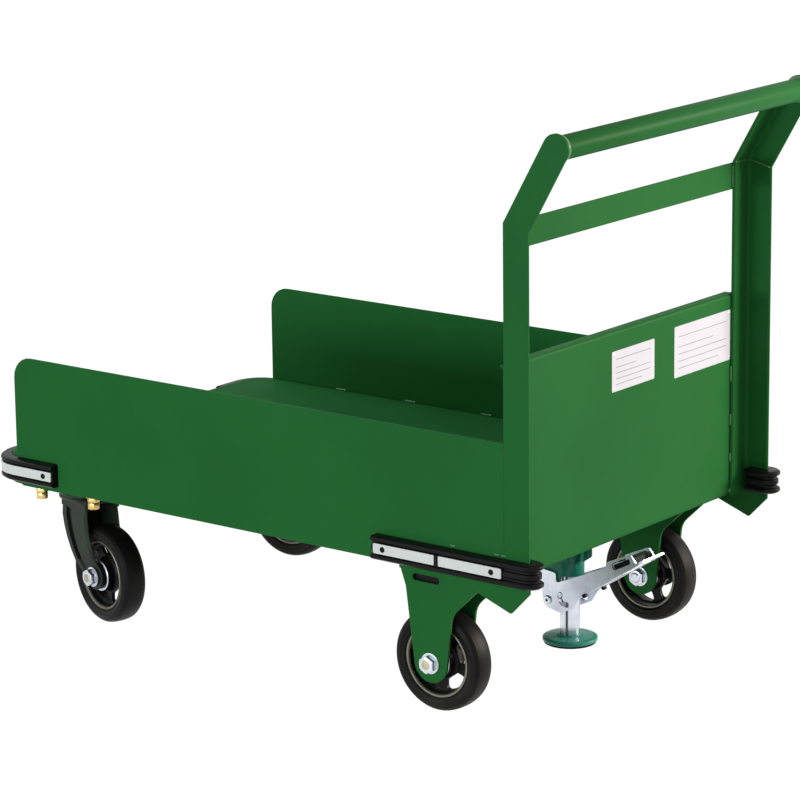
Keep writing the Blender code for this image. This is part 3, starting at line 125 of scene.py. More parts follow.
def make_edge_highlight_and_wear():
    """Masks of edges where the rounded normal leaves the true one: Edge, whole, for painted highlights, and
    Worn, broken up by noise, for rubbed edges.
    """
    tree, enter, leave = new_group("edge_highlight_and_wear", [("Radius", "Float", 0.0015), ("Patchiness", "Float", 60.0)],
                                   [("Edge", "Float"), ("Worn", "Float")])
    rounded = add(tree, "Bevel", {"samples": 4}, Radius=enter.outputs["Radius"])
    true = add(tree, "NewGeometry")
    close = add(tree, "VectorMath", {"operation": "DOT_PRODUCT"}, i0=rounded.outputs[0],
                i1=true.outputs["Normal"])
    edge = ramp(tree, close.outputs["Value"], 0.995, 0.80)
    spot = add(tree, "TexCoord")
    patch = add(tree, "TexNoise", Vector=spot.outputs["Object"], Scale=enter.outputs["Patchiness"],
                Detail=6.0, Roughness=0.6)
    broken = ramp(tree, patch.outputs[0], 0.48, 0.66)
    tree.links.new(edge, leave.inputs["Edge"])
    tree.links.new(times(tree, edge, broken), leave.inputs["Worn"])
    return tree


def make_mottle():
    """Slow and fine changes over a painted or moulded surface."""
    tree, enter, leave = new_group("mottle", [("Broad", "Float", 5.0), ("Fine", "Float", 700.0)],
                                   [("Cloud", "Float"), ("Speck", "Float"), ("Peel", "Float")])
    spot = add(tree, "TexCoord").outputs["Object"]
    cloud = add(tree, "TexNoise", Vector=spot, Scale=enter.outputs["Broad"], Detail=5.0, Roughness=0.55)
    speck = add(tree, "TexNoise", Vector=spot, Scale=times(tree, enter.outputs["Fine"], 0.35), Detail=3.0)
    peel = add(tree, "TexNoise", Vector=spot, Scale=enter.outputs["Fine"], Detail=2.0)
    tree.links.new(ramp(tree, cloud.outputs[0], 0.3, 0.7), leave.inputs["Cloud"])
    tree.links.new(ramp(tree, speck.outputs[0], 0.62, 0.74), leave.inputs["Speck"])
    tree.links.new(peel.outputs[0], leave.inputs["Peel"])
    return tree


def make_dust():
    """A thin film on faces that look up, and a little road dirt low down."""
    tree, enter, leave = new_group("dust", [("Floor", "Float", 0.02), ("Reach", "Float", 0.16)],
                                   [("Film", "Float"), ("Dirt", "Float")])
    true = add(tree, "NewGeometry")
    upward = add(tree, "SeparateXYZ", Vector=true.outputs["Normal"]).outputs["Z"]
    spot = add(tree, "TexCoord").outputs["Object"]
    cloud = add(tree, "TexNoise", Vector=spot, Scale=14.0, Detail=8.0, Roughness=0.65).outputs[0]
    film = times(tree, ramp(tree, upward, 0.55, 0.95), ramp(tree, cloud, 0.35, 0.75))
    height = add(tree, "SeparateXYZ", Vector=spot).outputs["Z"]
    top = plus(tree, enter.outputs["Floor"], enter.outputs["Reach"])
    low = add(tree, "MapRange", Value=height, From_Min=top, From_Max=enter.outputs["Floor"])
    tree.links.new(film, leave.inputs["Film"])
    tree.links.new(times(tree, low.outputs["Result"], ramp(tree, cloud, 0.4, 0.7)), leave.inputs["Dirt"])
    return tree


EDGE_HIGHLIGHT_AND_WEAR = make_edge_highlight_and_wear()
MOTTLE = make_mottle()
DUST = make_dust()


# Finishes

ORANGE_PEEL = 0.05
RUBBER_GRAIN = 0.12
DRAWN_LINES = (1.0, 1.0, 14.0)      # stretch of the lines that drawing left in the metal
EDGE_HIGHLIGHT_GAIN = 1.7                     # how much paler bends and edges are painted, as a painted highlight
DRY_DUST, ROAD_DIRT = shade(150, 150, 140), shade(70, 66, 56)
RUBBER_SCUFF, RUBBER_DIRT = shade(84, 80, 78), shade(96, 90, 80)
PAINTED_EDGE_HIGHLIGHT = shade(238, 240, 244)
GREY_SCUFF = shade(150, 148, 144)


def new_finish(name, roughness, metallic=0.0, coat=0.0, specular=0.5):
    """A new material with its main settings, its node tree and its shader."""
    finish = bpy.data.materials.new(name)
    finish.use_nodes = True
    shader = finish.node_tree.nodes["Principled BSDF"]
    shader.inputs["Roughness"].default_value = roughness
    shader.inputs["Metallic"].default_value = metallic
    shader.inputs["Coat Weight"].default_value = coat
    shader.inputs["Coat Roughness"].default_value = 0.12
    shader.inputs["Specular IOR Level"].default_value = specular
    return finish, finish.node_tree, shader


def use(tree, group, **values):
    """A shared group placed in a material with its own values."""
    node = tree.nodes.new("ShaderNodeGroup")
    node.node_tree = group
    for label, value in values.items():
        node.inputs[label].default_value = value
    return node


def paler(colour, gain):
    """A colour brightened by a gain, no further than white."""
    return tuple(min(1.0, part * gain) for part in colour[:3]) + (1.0,)


def enamel(name, colour, shadow, bare, roughness, wear=0.5, specular=0.07):
    """Sprayed enamel on steel: cloudy colour, orange peel, dust on top, rubbed edges, and bends and edges
    painted paler as a highlight.
    """
    finish, tree, shader = new_finish(name, roughness, specular=specular)
    mottle = use(tree, MOTTLE, Broad=4.0, Fine=520.0)
    edge = use(tree, EDGE_HIGHLIGHT_AND_WEAR, Radius=0.0016, Patchiness=45.0)
    dust = use(tree, DUST)
    base = blend_colour(tree, mottle.outputs["Cloud"], shadow, colour)
    # Painted highlight: the paint turns paler towards bends and edges, standing in for the light that they
    # catch.
    lit = blend_colour(tree, times(tree, edge.outputs["Edge"], 0.30), base, paler(colour, EDGE_HIGHLIGHT_GAIN))
    worn = blend_colour(tree, times(tree, edge.outputs["Worn"], wear), lit, bare)
    dusty = blend_colour(tree, times(tree, dust.outputs["Film"], 0.02), worn, DRY_DUST)
    soiled = blend_colour(tree, times(tree, dust.outputs["Dirt"], 0.10), dusty, ROAD_DIRT)
    tree.links.new(soiled, shader.inputs["Base Color"])
    rough = plus(tree, times(tree, dust.outputs["Film"], 0.15), roughness)
    rough = plus(tree, times(tree, mottle.outputs["Cloud"], 0.06), rough)
    tree.links.new(rough, shader.inputs["Roughness"])
    bump = add(tree, "Bump", Strength=ORANGE_PEEL, Distance=0.0006, Height=mottle.outputs["Peel"])
    tree.links.new(bump.outputs[0], shader.inputs["Normal"])
    return finish


def rubber(name, colour, pale, roughness):
    """Moulded black rubber with a fine grain and a dusty bloom."""
    finish, tree, shader = new_finish(name, roughness, specular=0.12)
    mottle = use(tree, MOTTLE, Broad=9.0, Fine=1100.0)
    edge = use(tree, EDGE_HIGHLIGHT_AND_WEAR, Radius=0.0012, Patchiness=80.0)
    dust = use(tree, DUST, Reach=0.10)
    base = blend_colour(tree, times(tree, mottle.outputs["Cloud"], 0.5), colour, pale)
    scuffed = blend_colour(tree, times(tree, edge.outputs["Worn"], 0.5), base, RUBBER_SCUFF)
    dusty = blend_colour(tree, times(tree, dust.outputs["Dirt"], 0.18), scuffed, RUBBER_DIRT)
    tree.links.new(dusty, shader.inputs["Base Color"])
    rough = plus(tree, times(tree, mottle.outputs["Cloud"], 0.14), roughness)
    tree.links.new(rough, shader.inputs["Roughness"])
    bump = add(tree, "Bump", Strength=RUBBER_GRAIN, Distance=0.0005, Height=mottle.outputs["Peel"])
    tree.links.new(bump.outputs[0], shader.inputs["Normal"])
    return finish


def plating(name, colour, dull, roughness):
    """Plated or bare metal: faint drawing lines, cloudy tarnish and edges brightened as a painted highlight.
    """
    finish, tree, shader = new_finish(name, roughness, metallic=1.0)
    mottle = use(tree, MOTTLE, Broad=22.0, Fine=900.0)
    edge = use(tree, EDGE_HIGHLIGHT_AND_WEAR, Radius=0.0010, Patchiness=120.0)
    spot = add(tree, "TexCoord").outputs["Object"]
    stretched = add(tree, "Mapping", Vector=spot, Scale=DRAWN_LINES)
    lines = add(tree, "TexNoise", Vector=stretched.outputs[0], Scale=90.0, Detail=4.0).outputs[0]
    base = blend_colour(tree, mottle.outputs["Cloud"], dull, colour)
    # Painted highlight: edges mixed halfway towards near white.
    bright = blend_colour(tree, times(tree, edge.outputs["Edge"], 0.5), base, PAINTED_EDGE_HIGHLIGHT)
    stained = blend_colour(tree, times(tree, mottle.outputs["Speck"], 0.35), bright, dull)
    tree.links.new(stained, shader.inputs["Base Color"])
    tree.links.new(plus(tree, times(tree, lines, 0.16), roughness), shader.inputs["Roughness"])
    bump = add(tree, "Bump", Strength=0.06, Distance=0.0003, Height=lines)
    tree.links.new(bump.outputs[0], shader.inputs["Normal"])
    return finish


def moulding(name, colour, grey, roughness):
    """Smooth plastic, card or a keyway's painted shade: cloudy in tone, scuffed at the edges, with a soft
    gloss.
    """
    finish, tree, shader = new_finish(name, roughness, coat=0.2)
    mottle = use(tree, MOTTLE, Broad=26.0, Fine=420.0)
    edge = use(tree, EDGE_HIGHLIGHT_AND_WEAR, Radius=0.0008, Patchiness=90.0)
    base = blend_colour(tree, times(tree, mottle.outputs["Cloud"], 0.5), colour, grey)
    scuffed = blend_colour(tree, times(tree, edge.outputs["Worn"], 0.35), base, GREY_SCUFF)
    tree.links.new(scuffed, shader.inputs["Base Color"])
    rough = plus(tree, times(tree, mottle.outputs["Speck"], 0.2), roughness)
    tree.links.new(rough, shader.inputs["Roughness"])
    bump = add(tree, "Bump", Strength=0.04, Distance=0.0004, Height=mottle.outputs["Peel"])
    tree.links.new(bump.outputs[0], shader.inputs["Normal"])
    return finish


FINISHES = {
    "green_paint": enamel("green_enamel", shade(44, 117, 58), shade(40, 110, 53), shade(112, 128, 108), 0.40,
                          specular=0.035),
    "deck_paint": enamel("deck_enamel", shade(46, 115, 62), shade(40, 106, 56), shade(112, 124, 108), 0.55,
                         specular=0.02),
    # Weld beads: a paler green than the frame and much pale bare metal at the ripples, painted highlights for
    # the light the beads catch, partly rubbed paint.
    "weld_paint_with_highlight": enamel("weld_enamel_with_highlight", shade(92, 150, 96), shade(58, 124, 66), shade(206, 214, 190), 0.26,
                         wear=0.9, specular=0.40),
    "fork_paint": enamel("olive_enamel", shade(58, 66, 56), shade(46, 53, 44), shade(118, 124, 112), 0.34,
                         wear=0.35, specular=0.10),
    # Near black on the grooves of the fork legs: painted shade in a recess.
    "groove_painted_shade": enamel("groove_painted_shade_enamel", shade(14, 15, 13), shade(10, 11, 10), shade(70, 74, 66), 0.50,
                           wear=0.1, specular=0.05),
    # Pale metal for the rim lips: a painted highlight.
    "rim_lip_highlight": plating("rim_lip_highlight", shade(126, 124, 110), shade(88, 86, 76), 0.40),
    "wheel_paint": enamel("wheel_black_enamel", shade(25, 25, 25), shade(18, 18, 19), shade(110, 110, 100),
                          0.30, specular=0.12),
    "lock_paint": enamel("lock_teal_enamel", shade(50, 152, 133), shade(38, 132, 114), shade(150, 160, 156),
                         0.28, specular=0.30),
    "zinc": plating("zinc_plate", shade(226, 230, 240), shade(192, 197, 208), 0.22),
    "yellow_zinc": plating("yellow_zinc_plate", shade(236, 206, 140), shade(208, 170, 100), 0.26),
    "bolt_end": plating("bolt_end", shade(196, 184, 160), shade(168, 157, 136), 0.42),
    # A darker grey for the post's keyway: painted shade in its recess.
    "keyway_painted_shade": moulding("keyway_painted_shade", shade(122, 124, 132), shade(98, 100, 108), 0.35),
    "bare_label": moulding("bare_label", shade(228, 233, 246), shade(220, 224, 237), 0.40),
    "label_rule": moulding("label_rule", shade(168, 170, 180), shade(150, 152, 162), 0.45),
    "tyre_rubber": rubber("tyre_rubber", shade(15, 14, 14), shade(25, 24, 23), 0.42),
    "bumper_rubber": rubber("bumper_rubber", shade(13, 12, 13), shade(24, 22, 23), 0.30),
    "strip_white": moulding("strip_white", shade(253, 253, 252), shade(244, 244, 243), 0.32),
}

SLOT_OF = {piece["node"]: piece["material_slot"] for piece in frame["record"]["subparts"]}
for node_name, slot_name in SLOT_OF.items():
    NODES[node_name].material_slots[0].material = FINISHES[slot_name]
NODES["deck"].material_slots[0].material = FINISHES["deck_paint"]


# Modelling by hand: draw a wire, extrude it, spin it, round it

JOIN_GAP = 0.00001
LATHE_SMOOTH = math.radians(40)
SMOOTH = math.radians(35)


def only(piece):
    """Make one piece the only selected object, and the active one."""
    bpy.ops.object.select_all(action="DESELECT")
    piece.select_set(True)
    bpy.context.view_layer.objects.active = piece


def drawn(name, points):
    """A wire extruded point by point from one vertex, left in edit mode."""
    bpy.ops.object.select_all(action="DESELECT")
    bpy.ops.mesh.primitive_plane_add(size=0.002)
    piece = bpy.context.object
    piece.name = piece.data.name = name
    bpy.ops.object.mode_set(mode="EDIT")
    bpy.ops.mesh.select_all(action="SELECT")
    bpy.ops.mesh.merge(type="CENTER")
    bpy.ops.transform.translate(value=points[0])
    for before, after in zip(points, points[1:]):
        step = Vector(after) - Vector(before)
        bpy.ops.mesh.extrude_region_move(TRANSFORM_OT_translate={"value": step})
    return piece


def close_mesh():
    """Join doubled points, turn all faces outwards and leave edit mode."""
    bpy.ops.mesh.select_all(action="SELECT")
    bpy.ops.mesh.remove_doubles(threshold=JOIN_GAP)
    bpy.ops.mesh.normals_make_consistent(inside=False)
    bpy.ops.object.mode_set(mode="OBJECT")


def eased(corners, steps=4):
    """A closed outline from corners (a, b, radius), each turned into an arc."""
    outline = []
    for index, (a, b, radius) in enumerate(corners):
        corner = Vector((a, b))
        if radius <= 0:
            outline.append(corner)
            continue
        before = (Vector(corners[index - 1][:2]) - corner).normalized()
        after = (Vector(corners[(index + 1) % len(corners)][:2]) - corner).normalized()
        half = before.angle(after) / 2
        centre = corner + (before + after).normalized() * (radius / math.sin(half))
        start = corner + before * (radius / math.tan(half)) - centre
        turn = start.angle_signed(corner + after * (radius / math.tan(half)) - centre)
        for step in range(steps + 1):
            outline.append(centre + Matrix.Rotation(-turn * step / steps, 2) @ start)
    return outline


def rounded_box(low_a, high_a, low_b, high_b, radius, steps):
    """The outline of a rectangle with rounded corners."""
    return eased([(low_a, low_b, radius), (high_a, low_b, radius), (high_a, high_b, radius),
                  (low_a, high_b, radius)], steps)


def turned(name, section, steps=64):
    """A lathe piece about the y axis from a closed half section of (radius, distance along)."""
    piece = drawn(name, [(radius, along, 0.0) for radius, along in list(section) + [section[0]]])
    bpy.ops.mesh.select_all(action="SELECT")
    bpy.ops.mesh.spin(steps=steps, angle=2 * math.pi, center=(0, 0, 0), axis=(0, 1, 0))
    close_mesh()
    bpy.ops.object.shade_smooth_by_angle(angle=LATHE_SMOOTH)
    return piece


def cut_sheet(name, outline, low, high):
    """An outline in x and z, filled and extruded across y from low to high."""
    points = [(a, low, b) for a, b in outline]
    piece = drawn(name, points)
    bpy.ops.mesh.select_all(action="SELECT")
    bpy.ops.mesh.edge_face_add()
    bpy.ops.mesh.extrude_region_move(TRANSFORM_OT_translate={"value": (0.0, high - low, 0.0)})
    close_mesh()
    return piece


def finish_with(piece, kind, **settings):
    """Add a modifier to a piece and apply it."""
    only(piece)
    modifier = piece.modifiers.new(kind.lower(), kind)
    for label, value in settings.items():
        setattr(modifier, label, value)
    bpy.ops.object.modifier_apply(modifier=modifier.name)


def round_edges(piece, radius, segments=2, angle=40):
    """Round the edges that are sharper than an angle, and shade the piece smooth."""
    finish_with(piece, "BEVEL", width=radius, segments=segments, limit_method="ANGLE",
                angle_limit=math.radians(angle), miter_outer="MITER_ARC")
    bpy.ops.object.shade_smooth_by_angle(angle=SMOOTH)


def cut_away(piece, tool, operation="DIFFERENCE"):
    """Cut a tool's shape out of a piece, or keep only what both share, and remove the tool."""
    finish_with(piece, "BOOLEAN", operation=operation, solver="EXACT", object=tool)
    bpy.data.objects.remove(tool, do_unlink=True)


def place(piece, spot, turn=(0.0, 0.0, 0.0)):
    """Move and turn a piece, then put its place into its mesh."""
    only(piece)
    piece.location, piece.rotation_euler = spot, turn
    bpy.ops.object.transform_apply(location=True, rotation=True, scale=True)
    return piece


def copy_of(piece, name):
    """A copy with its own mesh."""
    twin = piece.copy()
    twin.data = piece.data.copy()
    twin.name = twin.data.name = name
    bpy.context.scene.collection.objects.link(twin)
    return twin


def join(name, pieces):
    """Several loose pieces made one object."""
    only(pieces[0])
    for piece in pieces[1:]:
        piece.select_set(True)
    bpy.ops.object.join()
    pieces[0].name = pieces[0].data.name = name
    return pieces[0]


def dress(piece, finish, body, stands_for=()):
    """Give a finished piece its material, its body and the nodes that it stands for."""
    piece.data.materials.clear()
    piece.data.materials.append(FINISHES[finish])
    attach(piece, body)
    if stands_for:
        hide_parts(*stands_for)
    return piece


def repaint(piece, finish, picks):
    """A second finish on the faces of a piece that a test picks out."""
    piece.data.materials.append(FINISHES[finish])
    for face in piece.data.polygons:
        if picks(face):
            face.material_index = 1


def remove_models(*models):
    """Take away the models that copies were made from."""
    for model in models:
        bpy.data.objects.remove(model, do_unlink=True)


def centre_and_half(node):
    """The middle of a node's box, and half its size."""
    low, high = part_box(node)
    return (low + high) / 2, (high - low) / 2


# Sheet and bar pieces: the solids' own shapes with joined faces and rounded edges

BODY_OF = {node: body for body, nodes in frame["record"]["behaviour"]["bodies"].items() for node in nodes}
SHEET_EDGE = 0.0006
FACET_GAP = 0.000005
FLAT = math.radians(0.4)        # facets this close in angle are one flat


def refine(node, finish):
    """A piece in a node's own shape, joined, with flats made whole and its sharp edges rounded."""
    piece = copy_of(NODES[node], node + "_finished")
    piece.parent = None
    for key in list(piece.keys()):
        del piece[key]
    only(piece)
    bpy.ops.object.mode_set(mode="EDIT")
    bpy.ops.mesh.select_all(action="SELECT")
    bpy.ops.mesh.remove_doubles(threshold=FACET_GAP)
    bpy.ops.mesh.dissolve_limited(angle_limit=FLAT)
    bpy.ops.object.mode_set(mode="OBJECT")
    round_edges(piece, SHEET_EDGE)
    finish_with(piece, "WEIGHTED_NORMAL", keep_sharp=True, weight=80)
    return dress(piece, finish, BODY_OF[node], [node])


REFINED = {
    "green_paint": ("front_beam", "rear_beam", "end_panel", "cross_bar", "side_panel_left",
                    "side_panel_right", "foot_plate_left", "foot_plate_right", "fixed_bracket_left",
                    "fixed_bracket_right", "upright_left", "upright_right"),
    "deck_paint": ("deck",),
    "zinc": ("lock_pedal",),
    "fork_paint": ("swivel_plate_left", "swivel_plate_right", "fork_left", "fork_right"),
    "lock_paint": ("lock_body",),
    "bumper_rubber": ("front_bumper_left", "front_bumper_right", "rear_bumper_left", "rear_bumper_right"),
    "strip_white": ("front_strip_left", "front_strip_right", "rear_strip_left_1", "rear_strip_left_2",
                    "rear_strip_right_1", "rear_strip_right_2"),
}
for finish_name, node_names in REFINED.items():
    for node_name in node_names:
        refine(node_name, finish_name)


# Casters

LEG_FRONT = ((-0.031, 0.169), (-0.031, 0.1065), (0.03246, 0.05841))     # a fork leg's edges, pulled curves
LEG_REAR = ((0.031, 0.169), (0.031, 0.1065), (0.06354, 0.08359))
LEG_STEPS = 80
GROOVE = (0.205, 0.415)     # the groove's place, as shares of the width of a fork's leg
GROOVE_LOW, GROOVE_HIGH = 0.088, 0.1655
CROWN_FRONT, CROWN_REAR, CROWN_SIDE = -0.0405, 0.0345, 0.0325
CROWN_LOW, CROWN_HIGH = 0.1712, 0.1820
CROWN_CORNER = 0.010
CROWN_ROUND = 0.0050
SLOT_SHADE_AHEAD, SLOT_SHADE_DROP = 0.0205, 0.0062      # a slot's dark sheet, painted shade, from the front and the top of its bracket
SLOT_SHADE_LENGTH, SLOT_SHADE_HEIGHT = 0.0520, 0.0150
SLOT_SHADE_INNER, SLOT_SHADE_OUTER = 0.2712, 0.2736     # its faces, from the truck's middle
SLOT_SHADE_CORNER = 0.003
SLOT_SHADE_EDGE = 0.0004
LEG_OUTER = 0.0292          # outer face of a caster's leg from the wheel's middle
AXLE_RADIUS = 0.007
WASHER_RADIUS = 0.0145
WASHER_LOW, WASHER_HIGH = LEG_OUTER + 0.0002, LEG_OUTER + 0.0020
HEX_ACROSS = 0.022
HEX_HEIGHT = 0.0095
HEX_EDGE = 0.0003
HEX_CHAMFER = math.radians(30)
BOLT_FACE = WASHER_HIGH + HEX_HEIGHT
BOLT_END = BOLT_FACE + 0.0001       # past this an axle bolt shows its bare end
THREAD_PITCH = 0.0015
THREAD_TURNS = 6
WINDOW_COUNT = 5
WINDOW_INNER, WINDOW_OUTER = 0.0275, 0.0449
WINDOW_HALF = math.radians(27)
WEB_HALF = 0.012            # a cutter this deep passes the web on both sides
CAST_EDGE = 0.0009
WINDOW_TURN = {"rear_left": 18.0, "rear_right": 39.0, "front_left": 18.0, "front_right": 18.0}     # degrees
JOINTS = {joint["name"]: joint for joint in frame["record"]["behaviour"]["joints"]}


def swivel_turn(side):
    """The angle that a front caster trails at, from its wheel's axle."""
    across, along, _ = JOINTS[f"wheel_front_{side}_spin"]["axis"]
    return math.atan2(-across, along)


def swivel_spot(side):
    """Where a front caster's upright axis meets the floor."""
    middle, _ = centre_and_half("swivel_plate_" + side)
    return Vector((middle.x, middle.y, 0.0))


def pulled(curve, share):
    """A point on a curve that leaves its first point and reaches its third, pulled to the second."""
    start, control, end = (Vector(point) for point in curve)
    return start * (1 - share) ** 2 + control * (2 * share * (1 - share)) + end * share ** 2


def across_leg(spot):
    """How far across a fork's leg a spot in the leg's plane lies, from 0 at its front to 1 at its rear."""
    found = []
    for step in range(LEG_STEPS + 1):
        front, rear = pulled(LEG_FRONT, step / LEG_STEPS), pulled(LEG_REAR, step / LEG_STEPS)
        width = rear - front
        share = (spot - front).dot(width) / width.length_squared
        found.append(((front + width * share - spot).length, share))
    return min(found)[1]


def build_crowns():
    """The rolled rim round a fork's crown, and painted shade, near black, in the grooves of its legs."""
    for side in SIDES:
        turn, spot = swivel_turn(side), swivel_spot(side)
        back = Matrix.Rotation(-turn, 3, "Z")
        outline = rounded_box(CROWN_FRONT, CROWN_REAR, -CROWN_SIDE, CROWN_SIDE, CROWN_CORNER, 5)
        rim = cut_sheet("crown_rim_" + side, outline, CROWN_LOW, CROWN_HIGH)
        place(rim, spot, (math.pi / 2, 0.0, turn))
        round_edges(rim, CROWN_ROUND, 4)
        dress(rim, "fork_paint", "swivel_" + side)

        def in_groove(face):
            where, facing = back @ (face.center - spot), back @ face.normal
            outside = facing.y * where.y > 0 and abs(facing.y) > 0.3 and GROOVE_LOW < where.z < GROOVE_HIGH
            return outside and GROOVE[0] < across_leg(Vector((where.x, where.z))) < GROOVE[1]

        # Painted shade: the groove's faces take the near-black finish.
        repaint(bpy.data.objects["fork_" + side + "_finished"], "groove_painted_shade", in_groove)


def build_slot_shade_sheets():
    """Dark sheets behind the slots in the fixed brackets' outer legs: painted shade where the slots show only
    shadow.
    """
    for side, sign in SIDE_SIGNS:
        low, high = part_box("fixed_bracket_" + side)
        front, top = low.x + SLOT_SHADE_AHEAD, high.z - SLOT_SHADE_DROP
        outline = rounded_box(front, front + SLOT_SHADE_LENGTH, top - SLOT_SHADE_HEIGHT, top, SLOT_SHADE_CORNER, 3)
        shade_sheet = cut_sheet("slot_shade_sheet_" + side, outline, *sorted((sign * SLOT_SHADE_INNER, sign * SLOT_SHADE_OUTER)))
        round_edges(shade_sheet, SLOT_SHADE_EDGE, 1)
        # Painted shade: a black rubber sheet put where the slot shows only shadow.
        dress(shade_sheet, "bumper_rubber", "chassis")


def mirrored(side):
    """A half section closed by its mirror image across the wheel's middle."""
    return side + [(radius, -along, ease) for radius, along, ease in reversed(side)]


def model_tyre():
    """Solid rubber with a crowned tread, round shoulders and a thin moulded ring on each side."""
    side = [(0.0516, 0.0150, 0.0006), (0.0540, 0.0176, 0.0012), (0.0592, 0.0188, 0.0012),
            (0.0598, 0.0194, 0.0003), (0.0610, 0.0194, 0.0003), (0.0616, 0.0187, 0.0004),
            (0.0662, 0.0178, 0.0036), (0.0698, 0.0132, 0.0040), (0.0710, 0.0050, 0.0120)]
    return turned("tyre_model", eased(mirrored(side), 4), 72)


def window_outline():
    """One window of a wheel's web: a rounded wedge that widens outwards."""
    foot = WINDOW_INNER * math.sin(WINDOW_HALF) * 0.9
    side, reach = WINDOW_OUTER * math.sin(WINDOW_HALF), WINDOW_OUTER * math.cos(WINDOW_HALF)
    return eased([(WINDOW_INNER, -foot, 0.004), (reach, -side, 0.005), (WINDOW_OUTER, 0.0, 0.020),
                  (reach, side, 0.005), (WINDOW_INNER, foot, 0.004)], 4)


def model_core():
    """Cast centre: rolled rim, dished web with rounded windows, and a flanged hub with two bosses."""
    side = [(0.0119, 0.0238, 0.0006), (0.0158, 0.0238, 0.0010), (0.0160, 0.0196, 0.0006),
            (0.0190, 0.0184, 0.0006), (0.0224, 0.0184, 0.0010), (0.0230, 0.0060, 0.0030),
            (0.0262, 0.0028, 0.0030), (0.0432, 0.0028, 0.0030), (0.0462, 0.0060, 0.0020),
            (0.0472, 0.0140, 0.0010), (0.0484, 0.0158, 0.0008), (0.0508, 0.0158, 0.0008),
            (0.0512, 0.0140, 0.0004)]
    core = turned("core_model", eased(mirrored(side), 3), 72)
    window = window_outline()
    cutters = []
    for number in range(WINDOW_COUNT):
        turn = Matrix.Rotation(2 * math.pi * number / WINDOW_COUNT, 2)
        cutters.append(cut_sheet("window", [turn @ point for point in window], -WEB_HALF, WEB_HALF))
    cut_away(core, join("windows", cutters))
    round_edges(core, CAST_EDGE, 2, 50)
    return core


def model_hub_ring():
    """Bright pressed ring on a hub's flange; its pale zinc is partly a painted highlight for the light on the
    hub's edge.
    """
    ring = [(0.0192, 0.0186, 0.0), (0.0194, 0.0194, 0.0003), (0.0222, 0.0194, 0.0005),
            (0.0231, 0.0182, 0.0004), (0.0231, 0.0164, 0.0), (0.0226, 0.0164, 0.0), (0.0226, 0.0186, 0.0)]
    return turned("hub_ring_model", eased(ring, 2), 48)


def model_rim_edge():
    """The lip of a wheel's rim as a ring of pale metal: a painted highlight for the light that the lip
    catches.
    """
    lip = [(0.0467, 0.0134, 0.0), (0.0471, 0.0148, 0.0004), (0.0483, 0.0164, 0.0005),
           (0.0500, 0.0167, 0.0004), (0.0513, 0.0159, 0.0003), (0.0512, 0.0150, 0.0),
           (0.0490, 0.0150, 0.0), (0.0476, 0.0134, 0.0)]
    return turned("rim_edge_model", eased(lip, 2), 72)


def model_hex(name, across, height, bore=0.0):
    """A hexagon with chamfered corners about the y axis, standing on y = 0."""
    bpy.ops.object.select_all(action="DESELECT")
    bpy.ops.mesh.primitive_cylinder_add(vertices=6, radius=across / math.sqrt(3), depth=height,
                                        rotation=(math.pi / 2, 0.0, 0.0), location=(0.0, height / 2, 0.0))
    piece = bpy.context.object
    piece.name = piece.data.name = name
    bpy.ops.object.transform_apply(location=True, rotation=True, scale=True)
    below = -0.001
    face, corner = across / 2 * 0.94, across / math.sqrt(3) * 1.02
    drop = (corner - face) * math.tan(HEX_CHAMFER)
    lens = [(bore, below, 0), (corner, below, 0), (corner, height - drop, 0), (face, height, 0),
            (bore, height, 0)]
    cut_away(piece, turned("lens", eased(lens), 48), "INTERSECT")
    round_edges(piece, HEX_EDGE, 1, 50)
    return piece


def model_axle_washer():
    """The washer between a caster's leg and a bolt's head or nut."""
    section = [(AXLE_RADIUS, WASHER_LOW, 0.0), (WASHER_RADIUS, WASHER_LOW, 0.0003),
               (WASHER_RADIUS, WASHER_HIGH, 0.0003), (AXLE_RADIUS, WASHER_HIGH, 0.0)]
    return turned("axle_washer", eased(section, 2), 48)


def model_axle_bolt():
    """Hexagon head on its washer, with the bare end of the bolt on top."""
    head = place(model_hex("axle_head", HEX_ACROSS, HEX_HEIGHT), (0.0, WASHER_HIGH, 0.0))
    section = [(0.0, BOLT_FACE, 0.0), (0.0066, BOLT_FACE, 0.0), (0.0060, BOLT_FACE + 0.0009, 0.0004),
               (0.0, BOLT_FACE + 0.0012, 0.0)]
    button = turned("axle_button", eased(section, 2), 32)
    return join("axle_bolt_model", [head, model_axle_washer(), button])


def model_axle_nut():
    """Nut and washer on the inner leg, with the bolt's threaded end standing out of it."""
    nut = model_hex("axle_nut", HEX_ACROSS, HEX_HEIGHT, AXLE_RADIUS + 0.0002)
    place(nut, (0.0, WASHER_HIGH, 0.0))
    end, neck = BOLT_FACE + 0.0003, AXLE_RADIUS - 0.0003
    root, crest = AXLE_RADIUS - 0.0009, AXLE_RADIUS - 0.0001
    start = end - THREAD_TURNS * THREAD_PITCH
    thread = [(0.0, -end, 0.0), (neck, -end, 0.0), (neck, start, 0.0)]
    for number in range(THREAD_TURNS):
        along = start + number * THREAD_PITCH
        thread += [(root, along + THREAD_PITCH * 0.25, 0.0), (crest, along + THREAD_PITCH * 0.75, 0.0)]
    thread += [(AXLE_RADIUS - 0.0010, end + 0.0010, 0.0), (0.0, end + 0.0010, 0.0)]
    shank = turned("axle_shank", eased(thread), 32)
    return join("axle_nut_model", [nut, model_axle_washer(), shank])


def set_at(model, name, spot, angle):
    """A copy of a model, turned about the upright axis and moved to a spot."""
    return place(copy_of(model, name), spot, (0.0, 0.0, angle))


